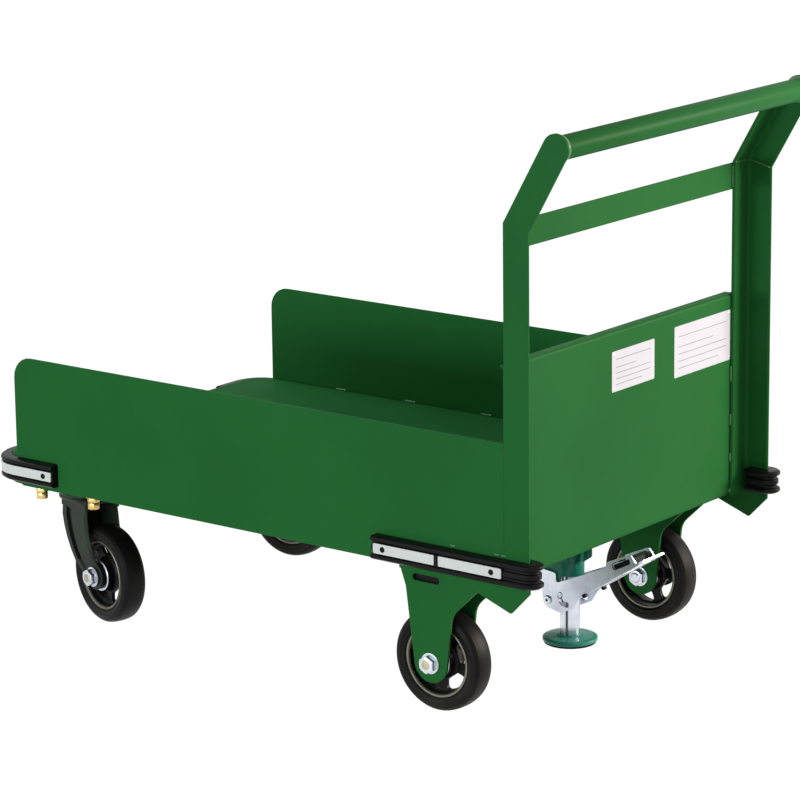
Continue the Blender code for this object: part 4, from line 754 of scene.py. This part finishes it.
def build_wheels():
    """Tyre, centre, hub rings, rim edges, axle bolt and nut of each of the four wheels."""
    tyre, core, ring, lip = model_tyre(), model_core(), model_hub_ring(), model_rim_edge()
    bolt, nut = model_axle_bolt(), model_axle_nut()
    for label in ("front_left", "front_right", "rear_left", "rear_right"):
        end, side = label.split("_")
        middle, _ = centre_and_half("tyre_" + label)
        turn = swivel_turn(side) if end == "front" else 0.0
        outward = turn + (math.pi if side == "left" else 0.0)
        both_sides = (turn, turn + math.pi)
        away = Matrix.Rotation(outward, 3, "Z") @ Vector((0.0, 1.0, 0.0))
        wheel = "wheel_" + label
        fork = "swivel_" + side if end == "front" else "chassis"
        tread = set_at(tyre, label + "_tyre", middle, turn)
        dress(tread, "tyre_rubber", wheel, ["tyre_" + label])
        centre = place(copy_of(core, label + "_centre"), (0, 0, 0), (0, -math.radians(WINDOW_TURN[label]), 0))
        place(centre, middle, (0, 0, turn))
        dress(centre, "wheel_paint", wheel, ["wheel_core_" + label])
        rings = [set_at(ring, "ring", middle, angle) for angle in both_sides]
        # Hub rings: plated metal whose pale colour is partly a painted highlight on the hub's edge.
        dress(join(label + "_hub_rings", rings), "zinc", wheel)
        lips = [set_at(lip, "lip", middle, angle) for angle in both_sides]
        # The rim lips' pale metal is a painted highlight.
        dress(join(label + "_rim_edges", lips), "rim_lip_highlight", wheel)
        axle = set_at(bolt, label + "_axle_bolt", middle, outward)
        dress(axle, "zinc", fork, ["axle_" + label])
        repaint(axle, "bolt_end", lambda face: (face.center - middle).dot(away) > BOLT_END)
        inner_nut = set_at(nut, label + "_axle_nut", middle, outward + math.pi)
        dress(inner_nut, "zinc", fork, ["axle_nut_" + label])
    remove_models(tyre, core, ring, lip, bolt, nut)


build_crowns()
build_slot_shade_sheets()
build_wheels()


# Turned pieces of the handle, casters and floor lock

KEYWAY_TURN = math.radians(-74.0)       # the post's keyway, round from the x axis
KEYWAY_HALF = 0.0017
KEYWAY_DEPTH = 0.0014
PEDAL_TILT = math.radians(27.0)
STOP_SPOT = (0.3502, 0.0236, 0.1146)    # one stop stud of the pedal, the other mirrors it
PAD_HALF = 0.0205
PAD_EDGE = 0.0005


def spun(name, section, spot, axis="y", steps=48, rounding=3):
    """A lathe piece about x, y or z through a spot, from corners (radius, along, easing)."""
    piece = turned(name, eased(section, rounding), steps)
    turn = {"x": (0.0, 0.0, -math.pi / 2), "y": (0.0, 0.0, 0.0), "z": (math.pi / 2, 0.0, 0.0)}[axis]
    return place(piece, spot, turn)


def build_handle():
    """The handle's tube, open at its ends."""
    middle, half = centre_and_half("handle_bar")
    bore = half.x - 0.002
    section = [(bore, -half.y, 0.0003), (half.x, -half.y, 0.0006), (half.x, half.y, 0.0006),
               (bore, half.y, 0.0003)]
    tube = spun("handle_tube", section, middle, steps=64)
    dress(tube, "green_paint", "chassis", ["handle_bar"])


def build_races():
    """The swivel casters' ball races, each with a seam round its middle."""
    for side in SIDES:
        middle, half = centre_and_half("ball_race_" + side)
        rim, deep = half.x, half.z
        section = [(rim - 0.013, -deep, 0.0), (rim - 0.008, -deep, 0.0008),
                   (rim - 0.001, -deep + 0.0030, 0.0030), (rim - 0.001, -0.0012, 0.0008),
                   (rim - 0.0026, 0.0, 0.0004), (rim, 0.0012, 0.0010), (rim, deep - 0.0006, 0.0024),
                   (rim - 0.004, deep, 0.0008), (rim - 0.013, deep, 0.0)]
        race = spun("race_ring_" + side, section, middle, "z", 64)
        dress(race, "fork_paint", "chassis", ["ball_race_" + side])


def build_post():
    """The lock's post with a keyway down it, its faces in a darker grey as painted shade, and the pin through
    the post.
    """
    middle, half = centre_and_half("lock_post")
    section = [(0.0, -half.z, 0.0), (half.x, -half.z, 0.0002), (half.x, half.z, 0.0015), (0.0, half.z, 0.0)]
    post = spun("post_bar", section, middle, "z", 64)
    floor, past = half.x - KEYWAY_DEPTH, half.x + 0.002
    outline = eased([(floor, -KEYWAY_HALF, 0.0005), (past, -KEYWAY_HALF, 0.0),
                     (past, KEYWAY_HALF, 0.0), (floor, KEYWAY_HALF, 0.0005)], 3)
    keyway = cut_sheet("keyway", outline, -half.z - 0.01, half.z + 0.01)
    cut_away(post, place(keyway, middle, (math.pi / 2, 0.0, KEYWAY_TURN)))
    dress(post, "zinc", "lock_post", ["lock_post"])

    def in_keyway(face):
        out = face.center - middle
        return math.hypot(out.x, out.y) < half.x - 0.0002 and abs(face.normal.z) < 0.5

    # Painted shade: the keyway's faces take a darker grey.
    repaint(post, "keyway_painted_shade", in_keyway)
    pin_middle, pin_half = centre_and_half("lock_pin")
    pin = [(0.0, -pin_half.y, 0.0), (pin_half.x, -pin_half.y, 0.0008), (pin_half.x, pin_half.y, 0.0008),
           (0.0, pin_half.y, 0.0)]
    dress(spun("post_pin", pin, pin_middle, steps=32), "zinc", "lock_post", ["lock_pin"])


def build_pad():
    """The lock's pad: a painted cup with a stepped back, and its rubber sole with one groove."""
    middle, half = centre_and_half("pad_cup")
    rim, low, high = half.x, -half.z, half.z
    cup = [(0.0, low, 0.0), (rim, low, 0.0008), (rim, low + 0.0050, 0.0018),
           (rim - 0.0060, low + 0.0062, 0.0020), (0.0190, low + 0.0070, 0.0020), (0.0170, high, 0.0010),
           (0.0, high, 0.0)]
    dress(spun("pad_shell", cup, middle, "z", 64), "lock_paint", "lock_post", ["pad_cup"])
    middle, half = centre_and_half("pad_rubber")
    rim, low, high = half.x, -half.z, half.z
    sole = [(0.0, low, 0.0), (0.0180, low, 0.0004), (0.0190, low + 0.0008, 0.0004), (0.0205, low, 0.0004),
            (rim - 0.0008, low, 0.0008), (rim, high, 0.0), (0.0, high, 0.0)]
    dress(spun("pad_sole", sole, middle, "z", 64), "tyre_rubber", "lock_post", ["pad_rubber"])


def build_pedal_pieces():
    """The hollow rivet that the pedal turns on, its two stop studs and its ribbed rubber pad."""
    hinge, half = centre_and_half("pedal_pin")
    flare, head, neck, bore = half.x, half.y - 0.0025, 0.004, 0.002
    rivet = [(bore, -half.y, 0.0003), (flare - 0.001, -half.y, 0.0010), (flare, -head, 0.0004),
             (neck, -head, 0.0), (neck, head, 0.0), (flare, head, 0.0004),
             (flare - 0.001, half.y, 0.0010), (bore, half.y, 0.0003)]
    dress(spun("pivot_rivet", rivet, hinge), "zinc", "chassis", ["pedal_pin"])
    stud = [(0.0, -0.0032, 0.0), (0.0030, -0.0032, 0.0008), (0.0030, 0.0032, 0.0008), (0.0, 0.0032, 0.0)]
    ahead, across, height = STOP_SPOT
    studs = [spun("stud", stud, (ahead, sign * across, height), steps=24) for sign in (-1, 1)]
    dress(join("pedal_stops", studs), "bumper_rubber", "pedal")
    ribs = [(0.1262, -0.0016, 0.0), (0.1568, 0.0014, 0.0), (0.1568, 0.0112, 0.0010), (0.1508, 0.0112, 0.0008),
            (0.1496, 0.0096, 0.0006), (0.1466, 0.0096, 0.0006), (0.1454, 0.0112, 0.0008),
            (0.1376, 0.0112, 0.0008), (0.1364, 0.0096, 0.0006), (0.1334, 0.0096, 0.0006),
            (0.1322, 0.0112, 0.0008), (0.1262, 0.0112, 0.0010)]
    pad = cut_sheet("tread_pad", eased(ribs, 2), -PAD_HALF, PAD_HALF)
    place(pad, hinge, (0.0, -PEDAL_TILT, 0.0))
    round_edges(pad, PAD_EDGE, 1)
    dress(pad, "tyre_rubber", "pedal")


build_handle()
build_races()
build_post()
build_pad()
build_pedal_pieces()


# Fasteners

DOWN = (-math.pi / 2, 0.0, 0.0)
SEAT_GAP = 0.0002
STACK_WASHER = 0.0020
STACK_ACROSS, STACK_BORE = 0.016, 0.0049
NUT_HEIGHT, LOCK_NUT_HEIGHT = 0.0076, 0.0096
LOCK_NUT_REST = 0.0098      # where a lock nut's foot stands
LOCK_NUT_TURN = math.radians(20)
HEAD_WASHER = 0.0016
HEAD_ACROSS, HEAD_HEIGHT = 0.013, 0.0056
SWIVEL_BOLT_ALONG, SWIVEL_BOLT_ACROSS = 0.0505, 0.0470      # from the middle of a swivel plate
BRACKET_BOLT_FRONT, BRACKET_BOLT_REAR = 0.013, 0.016        # in from the ends of a fixed bracket
BRACKET_BOLT_ACROSS = 0.013
LOCK_BOLT_INSET = 0.009
LOCK_BOLT_DROP = 0.0048
REAR_SCREW_INSETS = ((1, 0.016), (2, 0.088))        # strip number, place from its front end
FRONT_SCREW_INSET = 0.0145


def model_nut_stack():
    """A washer, two nuts and a stud's end, standing along y."""
    section = [(0.005, 0.0, 0.0), (0.0115, 0.0, 0.0003), (0.0115, STACK_WASHER, 0.0003),
               (0.005, STACK_WASHER, 0.0)]
    washer = turned("stack_washer", eased(section, 2), 32)
    nut = place(model_hex("stack_nut", STACK_ACROSS, NUT_HEIGHT, STACK_BORE), (0.0, STACK_WASHER, 0.0))
    lock_nut = model_hex("stack_lock_nut", STACK_ACROSS, LOCK_NUT_HEIGHT, STACK_BORE)
    place(lock_nut, (0.0, LOCK_NUT_REST, 0.0), (0.0, LOCK_NUT_TURN, 0.0))
    section = [(0.0, 0.0, 0.0), (0.0048, 0.0, 0.0), (0.0048, 0.0198, 0.0006), (0.0, 0.0204, 0.0)]
    stud = turned("stack_stud", eased(section, 2), 24)
    return join("nut_stack_model", [washer, nut, lock_nut, stud])


def model_bolt_head():
    """A hexagon bolt head on its washer, standing along y."""
    section = [(0.0, 0.0, 0.0), (0.0086, 0.0, 0.0003), (0.0086, HEAD_WASHER, 0.0003), (0.0, HEAD_WASHER, 0.0)]
    washer = turned("head_washer", eased(section, 2), 32)
    head = place(model_hex("bolt_head", HEAD_ACROSS, HEAD_HEIGHT), (0.0, HEAD_WASHER, 0.0))
    return join("bolt_head_model", [washer, head])


def model_screw():
    """A small pan-head screw with a cross recess, standing along y."""
    section = [(0.0, -0.0004, 0.0), (0.0040, -0.0004, 0.0), (0.0040, 0.0005, 0.0006),
               (0.0024, 0.0016, 0.0012), (0.0, 0.0018, 0.0)]
    screw = turned("screw_model", eased(section, 3), 32)
    arm, wide = 0.0021, 0.0005
    cross = [(-arm, -wide), (-wide, -wide), (-wide, -arm), (wide, -arm), (wide, -wide), (arm, -wide),
             (arm, wide), (wide, wide), (wide, arm), (-wide, arm), (-wide, wide), (-arm, wide)]
    cut_away(screw, cut_sheet("cross", cross, 0.0007, 0.0030))
    return screw


def copies(model, name, spots, turn):
    """One joined piece of copies of a model at several places."""
    return join(name, [place(copy_of(model, name + "_part"), spot, turn) for spot in spots])


def four_spots(middle, along, across, height):
    """Four places round a middle point, all at one height."""
    return [(middle.x + fore * along, middle.y + aside * across, height)
            for fore in (-1, 1) for aside in (-1, 1)]


def build_fasteners():
    """Nuts under the swivel plates, bolts of the brackets and the lock, and the screws of the strips."""
    stack, head, screw = model_nut_stack(), model_bolt_head(), model_screw()
    for side, sign in SIDE_SIGNS:
        middle, half = centre_and_half("swivel_plate_" + side)
        under = middle.z - half.z - SEAT_GAP
        spots = four_spots(middle, SWIVEL_BOLT_ALONG, SWIVEL_BOLT_ACROSS, under)
        dress(copies(stack, "swivel_bolts_" + side, spots, DOWN), "yellow_zinc", "chassis")
        low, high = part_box("fixed_bracket_" + side)
        middle_y = (low.y + high.y) / 2
        spots = [(x, middle_y + aside * BRACKET_BOLT_ACROSS, under)
                 for x in (low.x + BRACKET_BOLT_FRONT, high.x - BRACKET_BOLT_REAR) for aside in (-1, 1)]
        dress(copies(head, "bracket_bolts_" + side, spots, DOWN), "yellow_zinc", "chassis")
        spots = []
        for number, inset in REAR_SCREW_INSETS:
            middle, half = centre_and_half(f"rear_strip_{side}_{number}")
            spots.append((middle.x - half.x + inset, sign * (abs(middle.y) + half.y), middle.z))
        low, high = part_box("front_strip_" + side)
        face = sign * max(abs(low.y), abs(high.y))
        spots.append((high.x - FRONT_SCREW_INSET, face, (low.z + high.z) / 2))
        outward = (0.0, 0.0, math.pi if side == "left" else 0.0)
        screws = copies(screw, "strip_screws_" + side, spots, outward)
        dress(screws, "bumper_rubber", "chassis")
    middle, half = centre_and_half("lock_body")
    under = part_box("rear_beam")[0].z - LOCK_BOLT_DROP
    spots = four_spots(middle, half.x - LOCK_BOLT_INSET, half.y - LOCK_BOLT_INSET, under)
    dress(copies(head, "lock_bolts", spots, DOWN), "yellow_zinc", "chassis")
    remove_models(stack, head, screw)


build_fasteners()


# Label plates and strip clips

LABELS = (
    # name, ends across, bottom and top
    ("label_small", -0.044, 0.058, 0.414, 0.470),
    ("label_large", 0.107, 0.248, 0.404, 0.476),
)
LABEL_THICK = 0.0005
LABEL_CORNER = 0.002
LABEL_EDGE = 0.0001
LABEL_RULES = ((0.16, 0.020), (0.30, 0.0), (0.44, 0.0), (0.58, 0.034), (0.78, 0.0))     # height share, cut
RULE_INSET = 0.010
RULE_HEIGHT = 0.0011
RULE_THICK = 0.0001
RIVET_INSET = 0.004
RIVET_SEAT = 0.0004
LABEL_RIVET = ((0.0, 0.0, 0.0), (0.0014, 0.0, 0.0), (0.0012, 0.0004, 0.0002), (0.0006, 0.0007, 0.0003),
               (0.0, 0.0007, 0.0))
CLIP_HALF = 0.0034
CLIP_LAP = 0.0006           # how far a clip stands past its strips
CLIP_DEPTH = 0.0012
CLIP_CORNER, CLIP_EDGE = 0.001, 0.0002


def build_labels():
    """Two label plates on the end panel with plain rules, held by corner rivets."""
    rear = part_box("end_panel")[1].x
    facing_rear = (0.0, 0.0, math.pi / 2)
    for name, low_y, high_y, low_z, high_z in LABELS:
        plate = cut_sheet(name, rounded_box(low_y, high_y, low_z, high_z, LABEL_CORNER, 3), -LABEL_THICK, 0.0)
        place(plate, (rear, 0.0, 0.0), facing_rear)
        round_edges(plate, LABEL_EDGE, 1)
        dress(plate, "bare_label", "chassis")
        rules = []
        for share, cut in LABEL_RULES:
            z = low_z + (high_z - low_z) * share
            outline = rounded_box(low_y + RULE_INSET, high_y - RULE_INSET - cut, z, z + RULE_HEIGHT, 0.0, 1)
            rules.append(cut_sheet("rule", outline, -RULE_THICK, 0.0))
        printed = join(name + "_rules", rules)
        place(printed, (rear + LABEL_THICK + RULE_THICK, 0.0, 0.0), facing_rear)
        dress(printed, "label_rule", "chassis")
        rivets = [spun("rivet", LABEL_RIVET, (rear + RIVET_SEAT, y, z), "x", 16)
                  for y in (low_y + RIVET_INSET, high_y - RIVET_INSET)
                  for z in (low_z + RIVET_INSET, high_z - RIVET_INSET)]
        dress(join(name + "_rivets", rivets), "zinc", "chassis")


def build_strip_clips():
    """The dark clips where two rear strips meet."""
    for side, sign in SIDE_SIGNS:
        low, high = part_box(f"rear_strip_{side}_1")
        joint = (high.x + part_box(f"rear_strip_{side}_2")[0].x) / 2
        face = sign * max(abs(low.y), abs(high.y))
        bottom, top = low.z - CLIP_LAP, high.z + CLIP_LAP
        outline = rounded_box(joint - CLIP_HALF, joint + CLIP_HALF, bottom, top, CLIP_CORNER, 2)
        ends = sorted((face - sign * CLIP_DEPTH, face + sign * CLIP_LAP))
        clip = cut_sheet("strip_clip_" + side, outline, *ends)
        round_edges(clip, CLIP_EDGE, 1)
        dress(clip, "bumper_rubber", "chassis")


build_labels()
build_strip_clips()


# Welds

BEND_RISE = 0.436           # deck top to the bend of the uprights
MITRE = math.tan(math.radians(15.0))
WIDE_BEAD, BEAD, THIN_BEAD = 0.0034, 0.0032, 0.0030
BEAD_STEPS = ((0.15, 0.42), (0.50, 0.52), (0.85, 0.45))     # along one ripple, radius as a share of the width
PANEL_WELDS = ((0.372, 0.394), (0.309, 0.325), (0.256, 0.268), (0.2105, 0.2160))    # heights on the panel
DECK_WELDS = (-0.324, -0.189, -0.045, 0.110, 0.260)         # places along the deck's side
DECK_WELD_HALF = 0.010
FOOT_WELDS = (0.3256, 0.3975, 0.4086)                       # places along a side panel's outer face
FOOT_WELD_HEIGHT = 0.2452
FOOT_WELD_HALF = 0.004
LEG_INSIDE = 0.0045         # from the outer face of an upright's leg to a bead on its inner face
MITRE_RUN = 0.030


def bead(name, start, end, width):
    """A rippled weld run between two points, half sunk in the seam."""
    start, end = Vector(start), Vector(end)
    run = (end - start).length
    count = max(4, round(run / (width * 0.9)))
    outline = [(0.0, 0.0, 0.0)]
    for number in range(count):
        outline += [(width * radius, run * (number + share) / count, 0.0) for share, radius in BEAD_STEPS]
    outline.append((0.0, run, 0.0))
    piece = turned(name, eased(outline), 12)
    turn = (end - start).to_track_quat("Y", "Z").to_euler()
    return place(piece, start, turn)


def upright_seams(side, sign):
    """Runs on an upright: up the end panel, beside the flat bar and round the inside of the bend."""
    low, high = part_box("upright_" + side)
    bar_low, bar_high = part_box("cross_bar")
    toe = sign * min(abs(low.y), abs(high.y))
    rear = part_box("end_panel")[1].x + 0.0008
    seams = [((rear, toe, bottom), (rear, toe, top), WIDE_BEAD) for bottom, top in PANEL_WELDS]
    rear = bar_high.x + 0.0006
    seams.append(((rear, toe, bar_low.z + 0.003), (rear, toe, bar_high.z - 0.003), THIN_BEAD))
    inner_x, inner_y = low.x + LEG_INSIDE, max(abs(low.y), abs(high.y)) - LEG_INSIDE
    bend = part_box("deck")[1].z + BEND_RISE
    height = bend - 0.0012
    seams.append(((inner_x, toe + sign * 0.001, height),
                  (inner_x, sign * (inner_y - 0.004), height), WIDE_BEAD))
    front, height = inner_x + 0.004, bend - 0.0021
    seams.append(((front, sign * inner_y, height),
                  (front + MITRE_RUN, sign * inner_y, height - MITRE_RUN * MITRE), WIDE_BEAD))
    return seams


def level_seams(places, half, y, z, width):
    """Short level runs along the truck, centred on places along it."""
    return [((x - half, y, z), (x + half, y, z), width) for x in places]


def model_weld_collar(radius):
    """The fillet of weld round the end of the handle's tube."""
    fillet = [(radius - 0.0005, -0.0004, 0.0), (radius + 0.0034, -0.0004, 0.0008),
              (radius + 0.0022, 0.0046, 0.0024), (radius + 0.0002, 0.0080, 0.0010),
              (radius - 0.0005, 0.0080, 0.0)]
    return turned("weld_ring", eased(fillet, 3), 48)


def build_welds():
    """All weld runs of the frame and the collars at the handle's ends, as one piece."""
    seams = []
    deck_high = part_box("deck")[1]
    for side, sign in SIDE_SIGNS:
        seams += upright_seams(side, sign)
        seams += level_seams(DECK_WELDS, DECK_WELD_HALF, sign * (deck_high.y - 0.0004), deck_high.z, BEAD)
        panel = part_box("side_panel_" + side)[0 if sign < 0 else 1].y + sign * 0.0002
        seams += level_seams(FOOT_WELDS, FOOT_WELD_HALF, panel, FOOT_WELD_HEIGHT, THIN_BEAD)
    runs = [bead("weld_run", start, end, width) for start, end, width in seams]
    middle, half = centre_and_half("handle_bar")
    for sign, inward in ((-1, 0.0), (1, math.pi)):
        spot = (middle.x, sign * half.y, middle.z)
        runs.append(place(model_weld_collar(half.x), spot, (0.0, 0.0, inward)))
    # The beads' paler green is a painted highlight.
    dress(join("weld_runs", runs), "weld_paint_with_highlight", "chassis")


build_welds()


# Studio

WHITE = (1.0, 1.0, 1.0, 1.0)
AIR_LIGHT = 0.235
FLOOR_SIZE = 60.0
FLOOR_GLOW = 1.25
FLOOR_GREY = (0.55, 0.55, 0.55, 1.0)
FLOOR_SHARE = 0.80          # of the floor's look that doesn't take shadow
LAMPS = (
    # name, place, aimed at, length, height, watts, tint
    ("rear_lamp", (2.85, 2.4, 1.35), (0.45, 0.0, 0.40), 1.6, 1.0, 150.0, (1.0, 0.87, 0.78)),
    ("side_lamp", (-0.15, -2.2, 0.56), (-0.05, -0.29, 0.25), 1.8, 0.3, 17.5, (0.88, 1.0, 0.98)),
    ("top_lamp", (-0.85, 0.1, 1.05), (-0.45, 0.1, 0.22), 0.8, 0.8, 3.4, (0.90, 1.0, 0.95)),
)


def seen_rays(tree):
    """1 on rays that show a thing, also in a reflection or through glass, and 0 on rays that light it."""
    path = add(tree, "LightPath").outputs
    seen = add(tree, "Math", {"operation": "MAXIMUM"}, i0=path["Is Camera Ray"], i1=path["Is Glossy Ray"])
    seen = add(tree, "Math", {"operation": "MAXIMUM"}, i0=seen.outputs[0], i1=path["Is Transmission Ray"])
    return seen.outputs[0]


def make_floor():
    """A white floor that keeps a soft shadow."""
    bpy.ops.object.select_all(action="DESELECT")
    bpy.ops.mesh.primitive_plane_add(size=FLOOR_SIZE, location=(0.0, 0.0, 0.0))
    floor = bpy.context.object
    floor.name = "studio_floor"
    finish = bpy.data.materials.new("studio_floor")
    finish.use_nodes = True
    tree = finish.node_tree
    tree.nodes.clear()
    output = tree.nodes.new("ShaderNodeOutputMaterial")
    lit = add(tree, "BsdfDiffuse", Color=FLOOR_GREY)
    glow = add(tree, "Emission", Color=WHITE, Strength=FLOOR_GLOW)
    share = times(tree, seen_rays(tree), FLOOR_SHARE)
    mixed = add(tree, "MixShader", i0=share, i1=lit.outputs[0], i2=glow.outputs[0])
    tree.links.new(mixed.outputs[0], output.inputs["Surface"])
    floor.data.materials.append(finish)


def make_air():
    """Plain white surroundings that light the truck only softly."""
    world = bpy.data.worlds.new("studio_air")
    bpy.context.scene.world = world
    world.use_nodes = True
    tree = world.node_tree
    tree.nodes.clear()
    output = tree.nodes.new("ShaderNodeOutputWorld")
    soft = add(tree, "Background", Color=WHITE, Strength=AIR_LIGHT)
    plain = add(tree, "Background", Color=WHITE, Strength=1.0)
    both = add(tree, "MixShader", i0=seen_rays(tree), i1=soft.outputs[0], i2=plain.outputs[0])
    tree.links.new(both.outputs[0], output.inputs["Surface"])


def make_lamps():
    """Three broad lamps that the camera doesn't see."""
    for name, spot, aim, length, height, power, tint in LAMPS:
        lamp = bpy.data.lights.new(name, "AREA")
        lamp.shape = "RECTANGLE"
        lamp.size, lamp.size_y = length, height
        lamp.energy = power
        lamp.color = tint
        holder = bpy.data.objects.new(name, lamp)
        holder.location = spot
        holder.rotation_euler = (Vector(aim) - Vector(spot)).to_track_quat("-Z", "Y").to_euler()
        holder.visible_camera = False
        bpy.context.scene.collection.objects.link(holder)


def make_camera():
    """The picture's camera, looking a little down on the truck."""
    lens = bpy.data.cameras.new("camera")
    lens.sensor_fit = "HORIZONTAL"
    lens.sensor_width = SENSOR_WIDTH
    lens.lens = FOCAL_PIXELS * SENSOR_WIDTH / PICTURE_SIZE
    lens.clip_start, lens.clip_end = 0.1, 200.0
    camera = bpy.data.objects.new("camera", lens)
    around = Matrix.Rotation(CAMERA_AZIMUTH, 4, "Z")
    down = Matrix.Rotation(math.pi / 2 - CAMERA_HEIGHT_ANGLE, 4, "X")
    roll = Matrix.Rotation(CAMERA_ROLL, 4, "Z")
    camera.matrix_world = Matrix.Translation(CAMERA_SPOT) @ around @ down @ roll
    bpy.context.scene.collection.objects.link(camera)
    bpy.context.scene.camera = camera


make_floor()
make_air()
make_lamps()
make_camera()
bpy.context.scene.view_settings.view_transform = "Standard"
